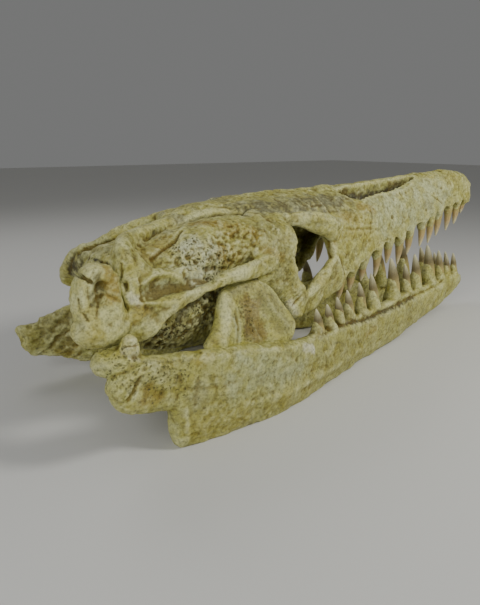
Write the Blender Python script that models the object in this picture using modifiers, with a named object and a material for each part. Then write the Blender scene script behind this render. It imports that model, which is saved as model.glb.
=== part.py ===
"""Fossil mosasaur skull: cranium, quadrates, jaw halves, coronoids and teeth.

Lengths in the tables are millimetres: +X runs to the tip of the snout, +Y to the
animal's left and +Z up from the surface that the lower jaw lies on.
"""
import math

import bmesh
import bpy
from mathutils import Matrix, Vector

# Units and overall place
MM = 0.001
CENTRE_SHIFT = Vector((-3.6, 12.5, -2.2))    # brings the middle of the skull's footprint to the origin

# How finely each bone is drawn
VOXEL = 3.4                 # mm, size of the grid that fuses lofts into one bone
CRANIUM_TRIANGLES = 2500
MANDIBLE_TRIANGLES = 620
SMALL_BONE_TRIANGLES = 260
FIT_GAP = 0.6               # mm of air between a bone or tooth and its seat

# Colours as linear red, green and blue
BONE = (0.55, 0.50, 0.33)
BONE_DARK = (0.36, 0.31, 0.18)
ENAMEL = (0.30, 0.19, 0.10)

# Snout, an arch open below: (x, z of the top, half width, z of the tooth margin, z of the palate)
SNOUT = [
    (358, 203, 4, 188, 190), (352, 209, 8, 182, 185), (342, 216, 14, 178, 184),
    (325, 223, 21, 178, 188), (300, 228, 27, 180, 194), (270, 229, 30, 175, 196),
    (235, 227, 33, 168, 193), (200, 225, 38, 160, 189), (160, 222, 44, 149, 184),
    (120, 219, 51, 141, 180), (85, 217, 58, 138, 178), (50, 215, 66, 130, 177),
    (15, 213, 74, 118, 176), (-10, 212, 80, 112, 178), (-30, 212, 83, 112, 182),
]
SNOUT_WALL = 11             # mm, thickness of the arch's sides

# Nostrils, cut down into the snout beside its midline bar: (x, y from the midline, z, half depth, half width)
NOSTRIL = [(36, 20, 216, 30, 5), (50, 25, 213, 30, 15), (68, 23, 215, 32, 14), (90, 21, 217, 32, 13),
           (115, 19, 219, 32, 12), (155, 14, 223, 30, 9), (192, 9, 227, 26, 4)]

# Skull roof behind the snout, a shallow arch: (x, z of the top, half width, z of the edge)
ROOF = [(-18, 212, 58, 178), (-45, 212, 60, 178), (-75, 211, 62, 179), (-105, 210, 66, 178), (-125, 208, 60, 182)]
ROOF_WALL = 12

# The shafts below are lists of (x, y, z, half size along the broad direction, half thickness)
PARIETAL = [(-100, 0, 196, 52, 13), (-135, 0, 194, 36, 12), (-165, 0, 193, 27, 12), (-205, 0, 187, 26, 12)]

# Cheek of one side, y as a distance from the midline
POSTORBITAL = [(-116, 48, 192, 17, 9), (-119, 72, 186, 21, 8), (-128, 92, 176, 25, 7),
               (-136, 101, 158, 25, 6), (-133, 101, 140, 23, 6)]
PREFRONTAL = [(-106, 64, 190, 8, 6), (-70, 68, 187, 9, 6), (-45, 72, 181, 12, 7), (-20, 74, 173, 14, 8)]
JUGAL_UPRIGHT = [(-132, 101, 146, 24, 6), (-115, 98, 122, 18, 6), (-103, 97, 106, 18, 7),
                 (-105, 97, 92, 12, 9)]
JUGAL_FORWARD = [(-102, 96, 96, 12, 6), (-78, 91, 99, 13, 6), (-50, 86, 112, 19, 6), (-20, 79, 122, 22, 7)]
TEMPORAL_BAR = [(-128, 101, 157, 14, 6), (-160, 106, 152, 9, 6), (-195, 111, 149, 7, 6), (-218, 113, 144, 6, 6)]
SQUAMOSAL_RIGHT = [(-203, -112, 147, 4, 5), (-232, -114, 142, 6, 6), (-264, -113, 134, 11, 7),
                   (-286, -109, 122, 18, 8), (-296, -106, 112, 14, 7)]
SQUAMOSAL_LEFT = [(-205, 111, 147, 4, 5), (-235, 112, 143, 8, 6), (-262, 109, 136, 10, 7), (-280, 104, 128, 11, 8)]
PTERYGOID = [(-290, 72, 100, 9, 6), (-250, 48, 96, 13, 7), (-190, 34, 94, 14, 7), (-120, 28, 92, 14, 6),
             (-50, 26, 92, 12, 6), (0, 32, 98, 11, 6), (30, 38, 112, 11, 6), (50, 44, 130, 10, 7), (68, 50, 142, 10, 8)]
ECTOPTERYGOID = [(-112, 32, 94, 12, 6), (-85, 58, 104, 9, 6), (-58, 82, 112, 9, 6)]
TEMPLE_MATRIX_RIGHT = [(-262, -68, 148, 18, 16), (-235, -64, 155, 29, 30), (-198, -58, 160, 34, 37),
                       (-165, -56, 163, 33, 41), (-142, -56, 166, 31, 43), (-122, -54, 172, 21, 36)]
TEMPLE_MATRIX_LEFT = [(-262, 68, 146, 16, 16), (-235, 62, 147, 26, 28), (-198, 56, 150, 32, 35),
                      (-165, 54, 154, 34, 37), (-142, 54, 160, 31, 38), (-122, 52, 170, 20, 32)]
LOWER_MATRIX_RIGHT = [(-288, -80, 102, 14, 12), (-262, -86, 106, 24, 12), (-225, -86, 111, 31, 13),
                      (-192, -84, 116, 28, 12)]
LOWER_MATRIX_LEFT = [(-270, 56, 104, 14, 12), (-245, 58, 108, 22, 12), (-205, 58, 116, 26, 12)]
TEMPLE_SHELF_RIGHT = [(-288, -96, 152, 12, 8), (-255, -99, 151, 13, 8), (-222, -99, 149, 11, 8)]
TEMPLE_SHELF_LEFT = [(-265, 98, 140, 10, 6), (-240, 101, 146, 10, 6), (-215, 101, 150, 8, 6)]

# Back of the skull, where the two sides differ
RAMUS_RIGHT = [(-185, -12, 184, 18, 10), (-222, -26, 171, 24, 9), (-254, -50, 165, 27, 9), (-277, -74, 162, 25, 10),
               (-285, -92, 154, 20, 11)]
RAMUS_CREST_RIGHT = [(-232, -28, 184, 8, 7), (-258, -46, 182, 10, 7), (-278, -64, 180, 12, 8), (-288, -80, 175, 14, 9),
                     (-291, -90, 164, 14, 10)]
RAMUS_FOOT_RIGHT = [
    (-268, -73, 164, 9, 8), (-256, -63, 170, 9, 8), (-240, -55, 176, 9, 8), (-224, -49, 181, 8, 7),
]
SUSPENSORIUM_RIGHT = [(-285, -84, 170, 16, 11), (-286, -96, 154, 16, 11), (-285, -102, 135, 15, 10),
                      (-288, -104, 113, 11, 8)]
RAMUS_LEFT = [(-185, 12, 184, 18, 10), (-230, 26, 169, 20, 9), (-258, 48, 154, 18, 8), (-274, 72, 142, 17, 9),
              (-281, 93, 125, 14, 10), (-282, 101, 113, 11, 9)]
PAROCCIPITAL_RIGHT = [(-262, -18, 142, 20, 12), (-280, -55, 142, 16, 9), (-288, -88, 145, 14, 8)]
PAROCCIPITAL_LEFT = [(-262, 18, 142, 20, 12), (-276, 50, 143, 14, 9), (-280, 84, 130, 13, 8)]
BRAINCASE = [(-165, 0, 160, 34, 26), (-205, 0, 146, 42, 32), (-245, 0, 138, 44, 36), (-276, 0, 134, 34, 32)]
CONDYLE = (-296, 0, 126)    # the knob that met the neck
CONDYLE_SIZE = (17, 17, 13)

# Quadrates
QUADRATE_SHAFT_RIGHT = [(-310, -99, 163, 8, 11), (-310, -100, 148, 9, 11), (-314, -101, 130, 17, 14),
                        (-318, -103, 112, 17, 13)]
QUADRATE_LOOP_RIGHT = [(-312, -100, 166, 8, 11), (-322, -100, 168, 8, 11), (-331, -100, 160, 9, 11),
                       (-333, -100, 144, 10, 11), (-330, -101, 126, 10, 12)]
QUADRATE_BOWL_RIGHT = ((-321, -104, 121), (25, 15, 17))
QUADRATE_WEB_RIGHT = ((-322, -98, 150), (13, 7, 21))
QUADRATE_SHAFT_LEFT = [(-266, 90, 128, 13, 12), (-262, 88, 112, 12, 12), (-260, 86, 97, 14, 12)]
QUADRATE_LOOP_LEFT = [(-266, 90, 132, 7, 11), (-256, 89, 130, 7, 10), (-249, 88, 119, 6, 9), (-251, 87, 108, 6, 9)]

# Jaw halves: (x, y, z of the middle, half height, half thickness)
JAW_RIGHT = [
    (-266, -127, 46, 44, 11), (-256, -128, 46, 46, 12), (-235, -131, 45, 45, 12), (-200, -131, 43, 43, 12),
    (-160, -129, 40, 40, 12), (-115, -120, 35, 35, 12), (-70, -108, 34, 34, 12), (-25, -96, 33, 32, 12),
    (15, -84, 33, 31, 12), (55, -75, 33, 31, 12), (100, -65, 34, 30, 12), (150, -52, 36, 28, 12),
    (200, -39, 36, 24, 11), (245, -28, 37, 22, 10), (285, -18, 38, 20, 9), (320, -10, 41, 16, 8),
    (345, -6, 44, 11, 6), (353, -5, 46, 7, 4),
]
JAW_LEFT = [
    (-262, 64, 47, 46, 10), (-250, 69, 46, 46, 12), (-225, 77, 45, 45, 12), (-190, 84, 43, 43, 12),
    (-150, 86, 40, 40, 12), (-110, 83, 35, 35, 12), (-65, 76, 34, 34, 12), (-20, 66, 33, 32, 12),
    (20, 58, 33, 31, 12), (60, 49, 33, 31, 12), (105, 41, 34, 30, 12), (150, 34, 36, 28, 12),
    (200, 26, 36, 24, 11), (245, 20, 37, 22, 10), (285, 14, 38, 20, 9), (320, 9, 41, 16, 8),
    (345, 6, 44, 11, 6), (353, 5, 46, 7, 4),
]
LEAN_RIGHT = (0, 0.02, 1)   # the broad direction of each jaw half, low edge to high edge
LEAN_LEFT = (0, 0.26, 1)
TOE_RIGHT = [(-267, -128, 18, 18, 10), (-252, -129, 20, 20, 11)]
HEEL_RIGHT = [(-321, -126, 80, 12, 9), (-312, -127, 75, 22, 14), (-296, -127, 71, 26, 15),
              (-265, -125, 66, 26, 12)]
HEEL_LEFT = [(-349, 97, 66, 5, 4), (-341, 95, 61, 13, 6), (-330, 93, 54, 23, 7), (-314, 90, 54, 26, 8),
             (-298, 88, 54, 32, 9), (-275, 82, 54, 38, 11), (-250, 78, 56, 34, 11)]
GLENOID_RIGHT = ((-314, -116, 94), (22, 17, 13))
GLENOID_LEFT = ((-264, 86, 84), (18, 13, 9))
KNOB_RIGHT = ((-306, -124, 106), (9, 7, 12))

# Coronoids, standing on the jaw's top edge
CORONOID_RIGHT = [(-229, -123, 88, 6, 5), (-219, -121, 90, 11, 6), (-208, -118, 94, 17, 7),
                  (-196, -115, 100, 26, 8), (-186, -113, 105, 33, 8), (-176, -112, 109, 34, 7),
                  (-164, -113, 107, 33, 6), (-150, -117, 98, 25, 6), (-130, -123, 84, 13, 6)]
CORONOID_LEFT = [(-219, 86, 88, 6, 5), (-209, 85, 90, 11, 6), (-198, 84, 94, 16, 7), (-186, 82, 99, 25, 8),
                 (-176, 81, 104, 31, 8), (-166, 80, 108, 33, 7), (-154, 81, 106, 31, 6),
                 (-140, 84, 97, 24, 6), (-120, 87, 84, 13, 6)]
CORONOID_LEAN_RIGHT = (0, 0.42, 1)
CORONOID_LEAN_LEFT = (0, -0.30, 1)

# Teeth: (x, distance from the midline, z of the margin, height of the crown)
UPPER_TEETH = [
    (316, 15, 181, 20), (293, 20, 180, 34), (270, 22, 176, 38), (240, 26, 169, 36), (219, 28, 164, 40),
    (196, 31, 160, 38), (160, 37, 149, 34), (133, 42, 143, 38), (103, 48, 140, 29), (74, 54, 136, 38),
    (40, 61, 127, 28), (14, 66, 117, 26), (-10, 71, 112, 28),
]
LOWER_TEETH = [
    (330, 6, 56, 38), (304, 10, 57, 38), (274, 15, 58, 49), (232, 23, 60, 62), (186, 33, 61, 54),
    (152, 41, 62, 44), (110, 50, 63, 59), (54, 62, 64, 47), (24, 68, 65, 40), (-6, 75, 65, 37),
    (-31, 82, 66, 33), (-54, 88, 67, 29), (-77, 94, 68, 28),
]
ROOT_DEPTH = 9              # mm that a tooth goes into its socket
UPPER_LEAN = 0.02           # how far a tip leans back, as a share of the crown
LOWER_LEAN = 0.22
CROWN_SLENDERNESS = 0.14    # radius at the margin over the height of the crown
LEAST_RADIUS = 5.6
JAW_YAW = 0.035             # the lower jaw has slipped towards the right by this share of the length


def clear_scene():
    for obj in list(bpy.data.objects):
        bpy.data.objects.remove(obj, do_unlink=True)


def collection_named(name):
    made = bpy.data.collections.new(name)
    bpy.context.scene.collection.children.link(made)
    return made


def make_material(name, colour, roughness):
    material = bpy.data.materials.new(name)
    material.use_nodes = True
    shader = material.node_tree.nodes["Principled BSDF"]
    shader.inputs["Base Color"].default_value = (*colour, 1.0)
    shader.inputs["Roughness"].default_value = roughness
    shader.inputs["Metallic"].default_value = 0.0
    return material


def object_from_rings(name, rings):
    """A closed loft through rings of equal length, each a list of points in millimetres."""
    bm = bmesh.new()
    loops = [[bm.verts.new(point * MM) for point in ring] for ring in rings]
    count = len(loops[0])
    for low, high in zip(loops, loops[1:]):
        for k in range(count):
            bm.faces.new((low[k], low[(k + 1) % count], high[(k + 1) % count], high[k]))
    bm.faces.new(loops[0])
    bm.faces.new(loops[-1])
    bmesh.ops.recalc_face_normals(bm, faces=bm.faces)
    bmesh.ops.triangulate(bm, faces=bm.faces)
    mesh = bpy.data.meshes.new(name)
    bm.to_mesh(mesh)
    bm.free()
    return bpy.data.objects.new(name, mesh)


def shaft(stations, broad, sides=14, corner=2.4):
    """A bone lofted along its stations; the broad half size is measured along a direction."""
    centres = [Vector(station[:3]) for station in stations]
    rings = []
    for k, station in enumerate(stations):
        tangent = (centres[min(k + 1, len(centres) - 1)] - centres[max(k - 1, 0)]).normalized()
        wide = Vector(broad)
        wide = (wide - wide.dot(tangent) * tangent).normalized()
        thin = tangent.cross(wide)
        slices = [(0.0, 1.0)]
        if k == 0:
            slices = [(-0.45, 0.55), (0.0, 1.0)]
        if k == len(stations) - 1:
            slices = [(0.0, 1.0), (0.45, 0.55)]
        for along, scale in slices:
            middle = centres[k] + tangent * along * min(station[3:5])
            ring = []
            for j in range(sides):
                angle = 2 * math.pi * j / sides
                across = math.copysign(abs(math.cos(angle)) ** (2 / corner), math.cos(angle))
                up = math.copysign(abs(math.sin(angle)) ** (2 / corner), math.sin(angle))
                ring.append(middle + wide * across * station[3] * scale + thin * up * station[4] * scale)
            rings.append(ring)
    return object_from_rings("shaft", rings)


def arch(stations, sides=18):
    """A bone like a gutter upside down: (x, top, half width, margin, z of the hollow's top, wall)."""
    rings = []
    for x, top, half_width, margin, hollow, wall in stations:
        ring = []
        for j in range(sides + 1):
            angle = math.pi * j / sides
            rise = math.sin(angle) ** 0.8
            ring.append(Vector((x, -half_width * math.cos(angle), margin + (top - margin) * rise)))
        inner = max(half_width - wall, 0.35 * half_width)
        for j in range(sides + 1):
            angle = math.pi * (1 - j / sides)
            rise = math.sin(angle) ** 0.7
            ring.append(Vector((x, -inner * math.cos(angle), margin + 0.5 + (hollow - margin) * rise)))
        rings.append(ring)
    return object_from_rings("arch", rings)


def lump(centre, size):
    """A rounded knob with its three half sizes."""
    bm = bmesh.new()
    bmesh.ops.create_uvsphere(bm, u_segments=16, v_segments=10, radius=1.0)
    placing = Matrix.Translation(Vector(centre) * MM) @ Matrix.Diagonal((*(s * MM for s in size), 1.0))
    bmesh.ops.transform(bm, matrix=placing, verts=bm.verts)
    mesh = bpy.data.meshes.new("lump")
    bm.to_mesh(mesh)
    bm.free()
    return bpy.data.objects.new("lump", mesh)


def on_side(stations, side):
    """Stations given by their distance from the midline, put on one side of it."""
    return [(x, side * y, *rest) for x, y, *rest in stations]


def evaluated(obj, name):
    """A new object that holds the mesh of an object with its modifiers applied."""
    bpy.context.view_layer.update()
    graph = bpy.context.evaluated_depsgraph_get()
    mesh = bpy.data.meshes.new_from_object(obj.evaluated_get(graph))
    made = bpy.data.objects.new(name, mesh)
    return made


def keep_largest_body(obj):
    """Drop the crumbs that a cut can leave beside a bone."""
    bm = bmesh.new()
    bm.from_mesh(obj.data)
    unseen = set(bm.verts)
    bodies = []
    while unseen:
        body = {unseen.pop()}
        edge_of_body = list(body)
        while edge_of_body:
            vertex = edge_of_body.pop()
            for edge in vertex.link_edges:
                other = edge.other_vert(vertex)
                if other in unseen:
                    unseen.remove(other)
                    body.add(other)
                    edge_of_body.append(other)
        bodies.append(body)
    bodies.sort(key=len)
    crumbs = [vertex for body in bodies[:-1] for vertex in body]
    bmesh.ops.delete(bm, geom=crumbs, context="VERTS")
    bm.to_mesh(obj.data)
    bm.free()


def cut_away(bone, cutter, workshop):
    """Take one solid out of another and return what is left of the bone."""
    cutter.display_type = "WIRE"
    cutter.hide_render = True
    workshop.objects.link(cutter)
    cut = bone.modifiers.new("cut", "BOOLEAN")
    cut.operation = "DIFFERENCE"
    cut.solver = "EXACT"
    cut.object = cutter
    left = evaluated(bone, bone.name)
    bpy.data.objects.remove(bone, do_unlink=True)
    bpy.data.objects.remove(cutter, do_unlink=True)
    workshop.objects.link(left)
    return left


def fuse(name, pieces, triangles, workshop, voxel=VOXEL):
    """Join lofts and lumps into one bone, soften it and bring it down to a number of triangles."""
    bm = bmesh.new()
    for piece in pieces:
        bm.from_mesh(piece.data)
        bpy.data.objects.remove(piece, do_unlink=True)
    mesh = bpy.data.meshes.new(name)
    bm.to_mesh(mesh)
    bm.free()
    rough = bpy.data.objects.new(name + "_rough", mesh)
    workshop.objects.link(rough)
    remesh = rough.modifiers.new("fuse", "REMESH")
    remesh.mode = "VOXEL"
    remesh.voxel_size = voxel * MM
    soften = rough.modifiers.new("soften", "SMOOTH")
    soften.factor = 0.5
    soften.iterations = 3
    fused = evaluated(rough, name)
    bpy.data.objects.remove(rough, do_unlink=True)
    workshop.objects.link(fused)
    keep_largest_body(fused)
    thin = fused.modifiers.new("thin out", "DECIMATE")
    thin.ratio = min(1.0, triangles / (2 * len(fused.data.polygons)))
    bone = evaluated(fused, name)
    bpy.data.objects.remove(fused, do_unlink=True)
    workshop.objects.link(bone)
    return bone


def seat(bone, neighbours, workshop, name="seat"):
    """Cut into a bone the seats of its neighbours, each a little larger than the neighbour."""
    bm = bmesh.new()
    for neighbour in neighbours:
        bm.from_mesh(neighbour.data)
    bmesh.ops.recalc_face_normals(bm, faces=bm.faces)
    bm.normal_update()
    for vertex in bm.verts:
        vertex.co += vertex.normal * vertex.calc_shell_factor() * FIT_GAP * MM
    mesh = bpy.data.meshes.new(name)
    bm.to_mesh(mesh)
    bm.free()
    made = cut_away(bone, bpy.data.objects.new(name, mesh), workshop)
    keep_largest_body(made)
    return made


def tooth(name, root, tip, radius, sides=6):
    """A slender tooth that leans back a little, from the bottom of its root to its tip."""
    root = Vector(root)
    tip = Vector(tip)
    axis = (tip - root).normalized()
    wide = axis.cross(Vector((0, 1, 0))).normalized()
    thin = axis.cross(wide)
    length = (tip - root).length
    bow = wide * math.copysign(0.05 * length, wide.x)
    rings = []
    for share, swell in ((0.0, 0.8), (0.22, 1.0), (0.62, 0.76), (0.9, 0.32)):
        middle = root.lerp(tip, share) + bow * math.sin(math.pi * share)
        ring = []
        for j in range(sides):
            angle = 2 * math.pi * j / sides
            ring.append(middle + (wide * math.cos(angle) + thin * math.sin(angle)) * radius * swell)
        rings.append(ring)
    obj = object_from_rings(name, rings)
    bm = bmesh.new()
    bm.from_mesh(obj.data)
    top = tip * MM
    blunt = [vertex for vertex in bm.verts if (vertex.co - top).length < 0.16 * length * MM]
    bmesh.ops.pointmerge(bm, verts=blunt, merge_co=top)
    bmesh.ops.triangulate(bm, faces=bm.faces)
    bmesh.ops.recalc_face_normals(bm, faces=bm.faces)
    bm.to_mesh(obj.data)
    bm.free()
    return obj


def tooth_radius(crown):
    return max(LEAST_RADIUS, CROWN_SLENDERNESS * crown)


def upper_teeth(side):
    """The thirteen teeth of one side of the upper jaw."""
    word = "right" if side < 0 else "left"
    made = []
    for number, (x, out, margin, crown) in enumerate(UPPER_TEETH, start=1):
        root = (x + 0.02 * crown, side * out, margin + ROOT_DEPTH)
        tip = (x - UPPER_LEAN * crown, side * (out + 0.05 * crown), margin - crown)
        made.append(tooth(f"upper_tooth_{word}_{number:02d}", root, tip, tooth_radius(crown)))
    return made


def lower_teeth(side):
    """The thirteen teeth of one side of the lower jaw, which has slipped to the right."""
    word = "right" if side < 0 else "left"
    made = []
    for number, (x, out, margin, crown) in enumerate(LOWER_TEETH, start=1):
        middle = -JAW_YAW * (358 - x)
        foot = middle + side * out
        root = (x + 0.02 * crown, foot, margin - ROOT_DEPTH)
        tip = (x - LOWER_LEAN * crown, foot + side * 0.04 * crown, margin + crown)
        made.append(tooth(f"lower_tooth_{word}_{number:02d}", root, tip, tooth_radius(crown)))
    return made


def cranium(workshop):
    """Snout, roof, cheeks, braincase and palate as one bone."""
    snout = arch([(*station, SNOUT_WALL) for station in SNOUT])
    workshop.objects.link(snout)
    for side in (-1, 1):
        snout = cut_away(snout, shaft(on_side(NOSTRIL, side), (0, 0, 1)), workshop)
    pieces = [snout]
    pieces.append(arch([(x, top, half, edge, top - ROOF_WALL, ROOF_WALL) for x, top, half, edge in ROOF]))
    pieces.append(shaft(PARIETAL, (0, 1, 0)))
    pieces.append(shaft(BRAINCASE, (0, 1, 0)))
    pieces.append(lump(CONDYLE, CONDYLE_SIZE))
    pieces.append(shaft(RAMUS_RIGHT, (-0.8, -0.2, 0.6)))
    pieces.append(shaft(RAMUS_CREST_RIGHT, (0, 0, 1)))
    pieces.append(shaft(RAMUS_FOOT_RIGHT, (0, 0, 1)))
    pieces.append(shaft(SUSPENSORIUM_RIGHT, (1, 0, 0)))
    pieces.append(shaft(RAMUS_LEFT, (-0.8, 0.2, 0.6)))
    pieces.append(shaft(PAROCCIPITAL_RIGHT, (0, 0, 1)))
    pieces.append(shaft(PAROCCIPITAL_LEFT, (0, 0, 1)))
    for stations in (SQUAMOSAL_RIGHT, SQUAMOSAL_LEFT, TEMPLE_SHELF_RIGHT, TEMPLE_SHELF_LEFT,
                     LOWER_MATRIX_RIGHT, LOWER_MATRIX_LEFT):
        pieces.append(shaft(stations, (0, 0, 1)))
    for stations in (TEMPLE_MATRIX_RIGHT, TEMPLE_MATRIX_LEFT):
        pieces.append(shaft(stations, (0, 0, 1), corner=2.0))
    for side in (-1, 1):
        pieces.append(shaft(on_side(POSTORBITAL, side), (1, 0, 0)))
        pieces.append(shaft(on_side(PREFRONTAL, side), (0, 0, 1)))
        pieces.append(shaft(on_side(JUGAL_UPRIGHT, side), (1, 0, 0)))
        pieces.append(shaft(on_side(JUGAL_FORWARD, side), (0, 0, 1)))
        pieces.append(shaft(on_side(TEMPORAL_BAR, side), (0, 0, 1)))
        pieces.append(shaft(on_side(PTERYGOID, side), (0, 1, 0)))
        pieces.append(shaft(on_side(ECTOPTERYGOID, side), (1, 0, 0)))
    return fuse("cranium", pieces, CRANIUM_TRIANGLES, workshop)


def quadrates(workshop):
    """The right one is whole; the left one has slipped forwards and shows less."""
    right = [shaft(QUADRATE_SHAFT_RIGHT, (1, 0, 0)), shaft(QUADRATE_LOOP_RIGHT, (1, 0, 1)),
             lump(*QUADRATE_BOWL_RIGHT), lump(*QUADRATE_WEB_RIGHT)]
    left = [shaft(QUADRATE_SHAFT_LEFT, (1, 0, 0)), shaft(QUADRATE_LOOP_LEFT, (1, 0, 1))]
    return (fuse("quadrate_right", right, SMALL_BONE_TRIANGLES, workshop),
            fuse("quadrate_left", left, SMALL_BONE_TRIANGLES, workshop))


def worn_flat(jaw, workshop):
    """Take off the lowest edge, level with the surface that the skull rests on."""
    bm = bmesh.new()
    bmesh.ops.create_cube(bm, size=1.0)
    placing = Matrix.Translation(Vector((0, 0, -25 - CENTRE_SHIFT.z)) * MM) @ Matrix.Diagonal((1, 0.4, 0.05, 1))
    bmesh.ops.transform(bm, matrix=placing, verts=bm.verts)
    mesh = bpy.data.meshes.new("rest")
    bm.to_mesh(mesh)
    bm.free()
    return cut_away(jaw, bpy.data.objects.new("rest", mesh), workshop)


def mandibles(workshop):
    """Each half is a deep blade with a heel behind its broken step."""
    right = [shaft(JAW_RIGHT, LEAN_RIGHT, corner=3.0), shaft(TOE_RIGHT, (0, 0, 1), corner=3.0),
             shaft(HEEL_RIGHT, (0, 0, 1)), lump(*GLENOID_RIGHT), lump(*KNOB_RIGHT)]
    left = [shaft(JAW_LEFT, LEAN_LEFT, corner=3.0), shaft(HEEL_LEFT, (0, 0, 1)), lump(*GLENOID_LEFT)]
    return (worn_flat(fuse("mandible_right", right, MANDIBLE_TRIANGLES, workshop), workshop),
            worn_flat(fuse("mandible_left", left, MANDIBLE_TRIANGLES, workshop), workshop))


def coronoids(workshop):
    right = [shaft(CORONOID_RIGHT, CORONOID_LEAN_RIGHT)]
    left = [shaft(CORONOID_LEFT, CORONOID_LEAN_LEFT)]
    return (fuse("coronoid_right", right, SMALL_BONE_TRIANGLES, workshop, voxel=2.4),
            fuse("coronoid_left", left, SMALL_BONE_TRIANGLES, workshop, voxel=2.4))


def finish(obj, material, skull):
    """Place a piece, give it its own name, its material and its smooth shading."""
    obj.name = obj.name.split(".")[0]
    obj.data.transform(Matrix.Translation(CENTRE_SHIFT * MM))
    obj.data.materials.clear()
    obj.data.materials.append(material)
    obj.data.shade_smooth()
    obj.data.set_sharp_from_angle(angle=math.radians(50))
    for holder in list(obj.users_collection):
        holder.objects.unlink(obj)
    skull.objects.link(obj)


def main():
    clear_scene()
    skull = collection_named("fossil mosasaur skull")
    workshop = collection_named("workshop")
    bone = make_material("fossil bone", BONE, 0.75)
    dark_bone = make_material("brown fossil bone", BONE_DARK, 0.8)
    enamel = make_material("tooth enamel", ENAMEL, 0.35)

    head = cranium(workshop)
    quadrate_right, quadrate_left = quadrates(workshop)
    jaw_right, jaw_left = mandibles(workshop)
    coronoid_right, coronoid_left = coronoids(workshop)
    upper = {side: upper_teeth(side) for side in (-1, 1)}
    lower = {side: lower_teeth(side) for side in (-1, 1)}

    jaw_left = seat(jaw_left, [jaw_right], workshop)
    coronoid_right = seat(coronoid_right, [head], workshop)
    coronoid_left = seat(coronoid_left, [head], workshop)
    quadrate_right = seat(quadrate_right, [head], workshop)
    quadrate_left = seat(quadrate_left, [head], workshop)
    jaw_right = seat(jaw_right, [quadrate_right, coronoid_right, *lower[-1]], workshop)
    jaw_left = seat(jaw_left, [quadrate_left, coronoid_left, *lower[1]], workshop)
    head = seat(head, upper[-1] + upper[1], workshop)

    for piece in (head, jaw_right, jaw_left, coronoid_right, coronoid_left):
        finish(piece, bone, skull)
    for piece in (quadrate_right, quadrate_left):
        finish(piece, dark_bone, skull)
    for piece in upper[-1] + upper[1] + lower[-1] + lower[1]:
        finish(piece, enamel, skull)


main()
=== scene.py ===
import math
import random

import bmesh
import bpy
import numpy as np
from mathutils import Matrix, Vector, noise
from mathutils.bvhtree import BVHTree


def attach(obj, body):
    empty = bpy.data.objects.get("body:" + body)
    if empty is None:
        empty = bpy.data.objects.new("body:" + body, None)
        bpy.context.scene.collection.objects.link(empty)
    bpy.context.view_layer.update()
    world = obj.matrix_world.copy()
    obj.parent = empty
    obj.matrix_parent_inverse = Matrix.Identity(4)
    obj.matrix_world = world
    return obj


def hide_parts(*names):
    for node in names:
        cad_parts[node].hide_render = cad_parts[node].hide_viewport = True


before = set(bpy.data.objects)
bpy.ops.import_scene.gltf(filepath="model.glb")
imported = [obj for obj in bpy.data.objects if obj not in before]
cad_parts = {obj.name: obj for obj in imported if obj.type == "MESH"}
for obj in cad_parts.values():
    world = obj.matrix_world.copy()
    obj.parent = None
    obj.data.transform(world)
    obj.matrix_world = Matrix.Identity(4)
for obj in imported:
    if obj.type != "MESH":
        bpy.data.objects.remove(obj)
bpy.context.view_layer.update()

# Fossil skull of a mosasaur, a sea lizard, lying on its lower jaw.
# Tables are in millimetres: +x to the tip of the snout, +y to the animal's left, +z up.
mm = 0.001
centreShift = (-3.6, 12.5, -2.2)    # brings the middle of the footprint to the origin

colours = {
    "cream": "BBBA6A",       # clean bone, the colour of most of the skull
    # Ivory also serves as the painted highlight on what stands proud.
    "ivory": "D8D79A",       # thin edges and fresh chips
    "plaster": "DEDCBE",     # filler pressed into a break
    "straw": "AEA548",       # yellower bone
    # Rust also serves as painted shade in the hollows, together with dirt.
    "ochre": "9C8420",       # iron stain
    "rust": "6E5C1C",        # stain that has run into a hollow
    "olive": "8E8B50",       # shaded, slightly green bone
    "moss": "4E4C20",        # the same, in pores
    "lilac": "7F7D5C",       # weathered roof of the skull
    "dove": "BEC496",        # pale grey bone of the snout
    "chalk": "CCD0AC",       # porous rock left in the temple
    # Umber also serves as painted shade deep inside the bones, where few rays get out, and inside the nostrils.
    "umber": "3A3216",       # rock left under the cheek
    # Near-black painted shadow for the bottoms of holes and deep grooves.
    "soot": "0D0B05",        # bottom of a hole
    "tan": "8C7A36",         # speckled hollow of the coronoid
    "upperCrown": "C2A66C",  # enamel of the upper teeth
    "upperTip": "E2D8A6",
    "lowerCrown": "82744A",  # enamel of the lower teeth, darker
    "lowerTip": "DAD4AA",
    "rootTan": "B0954A",     # bony base of a tooth
    "rootCream": "C6C078",
    "floor": "D9D8D4",
}


def linear(name):
    text = colours[name]
    shares = [int(text[k:k + 2], 16) / 255 for k in (0, 2, 4)]
    return tuple(s / 12.92 if s <= 0.04045 else ((s + 0.055) / 1.055) ** 2.4 for s in shares)


def addNode(tree, kind, settings, sockets):
    made = tree.nodes.new("ShaderNode" + kind)
    for key, value in settings.items():
        if key == "stops":
            ramp = made.color_ramp
            while len(ramp.elements) < len(value):
                ramp.elements.new(0.5)
            for element, (place, grey) in zip(ramp.elements, value):
                element.position = place
                element.color = (grey, grey, grey, 1)
        else:
            setattr(made, key, value)
    for key, value in sockets.items():
        if isinstance(value, bpy.types.NodeSocket):
            tree.links.new(value, made.inputs[key])
        else:
            made.inputs[key].default_value = value
    return made


darkening = {"data_type": "RGBA", "blend_type": "MULTIPLY"}    # settings of a mix that multiplies
covering = {"data_type": "RGBA"}                               # settings of a mix that covers


def across(size):
    return 1 / (size * mm)    # texture scale that repeats about every so many millimetres


# Rows between the rows of a table, on a smooth curve through them
def smoothRows(rows, steps):
    rows = np.array(rows, float)
    ends = np.vstack([2 * rows[0] - rows[1], rows, 2 * rows[-1] - rows[-2]])
    made = []
    for k in range(len(rows) - 1):
        a, b, c, d = ends[k:k + 4]
        for t in np.arange(steps) / steps:
            made.append(b + 0.5 * t * (c - a + t * (2 * a - 5 * b + 4 * c - d + t * (3 * (b - c) + d - a))))
    made.append(rows[-1])
    return np.array(made)


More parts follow.
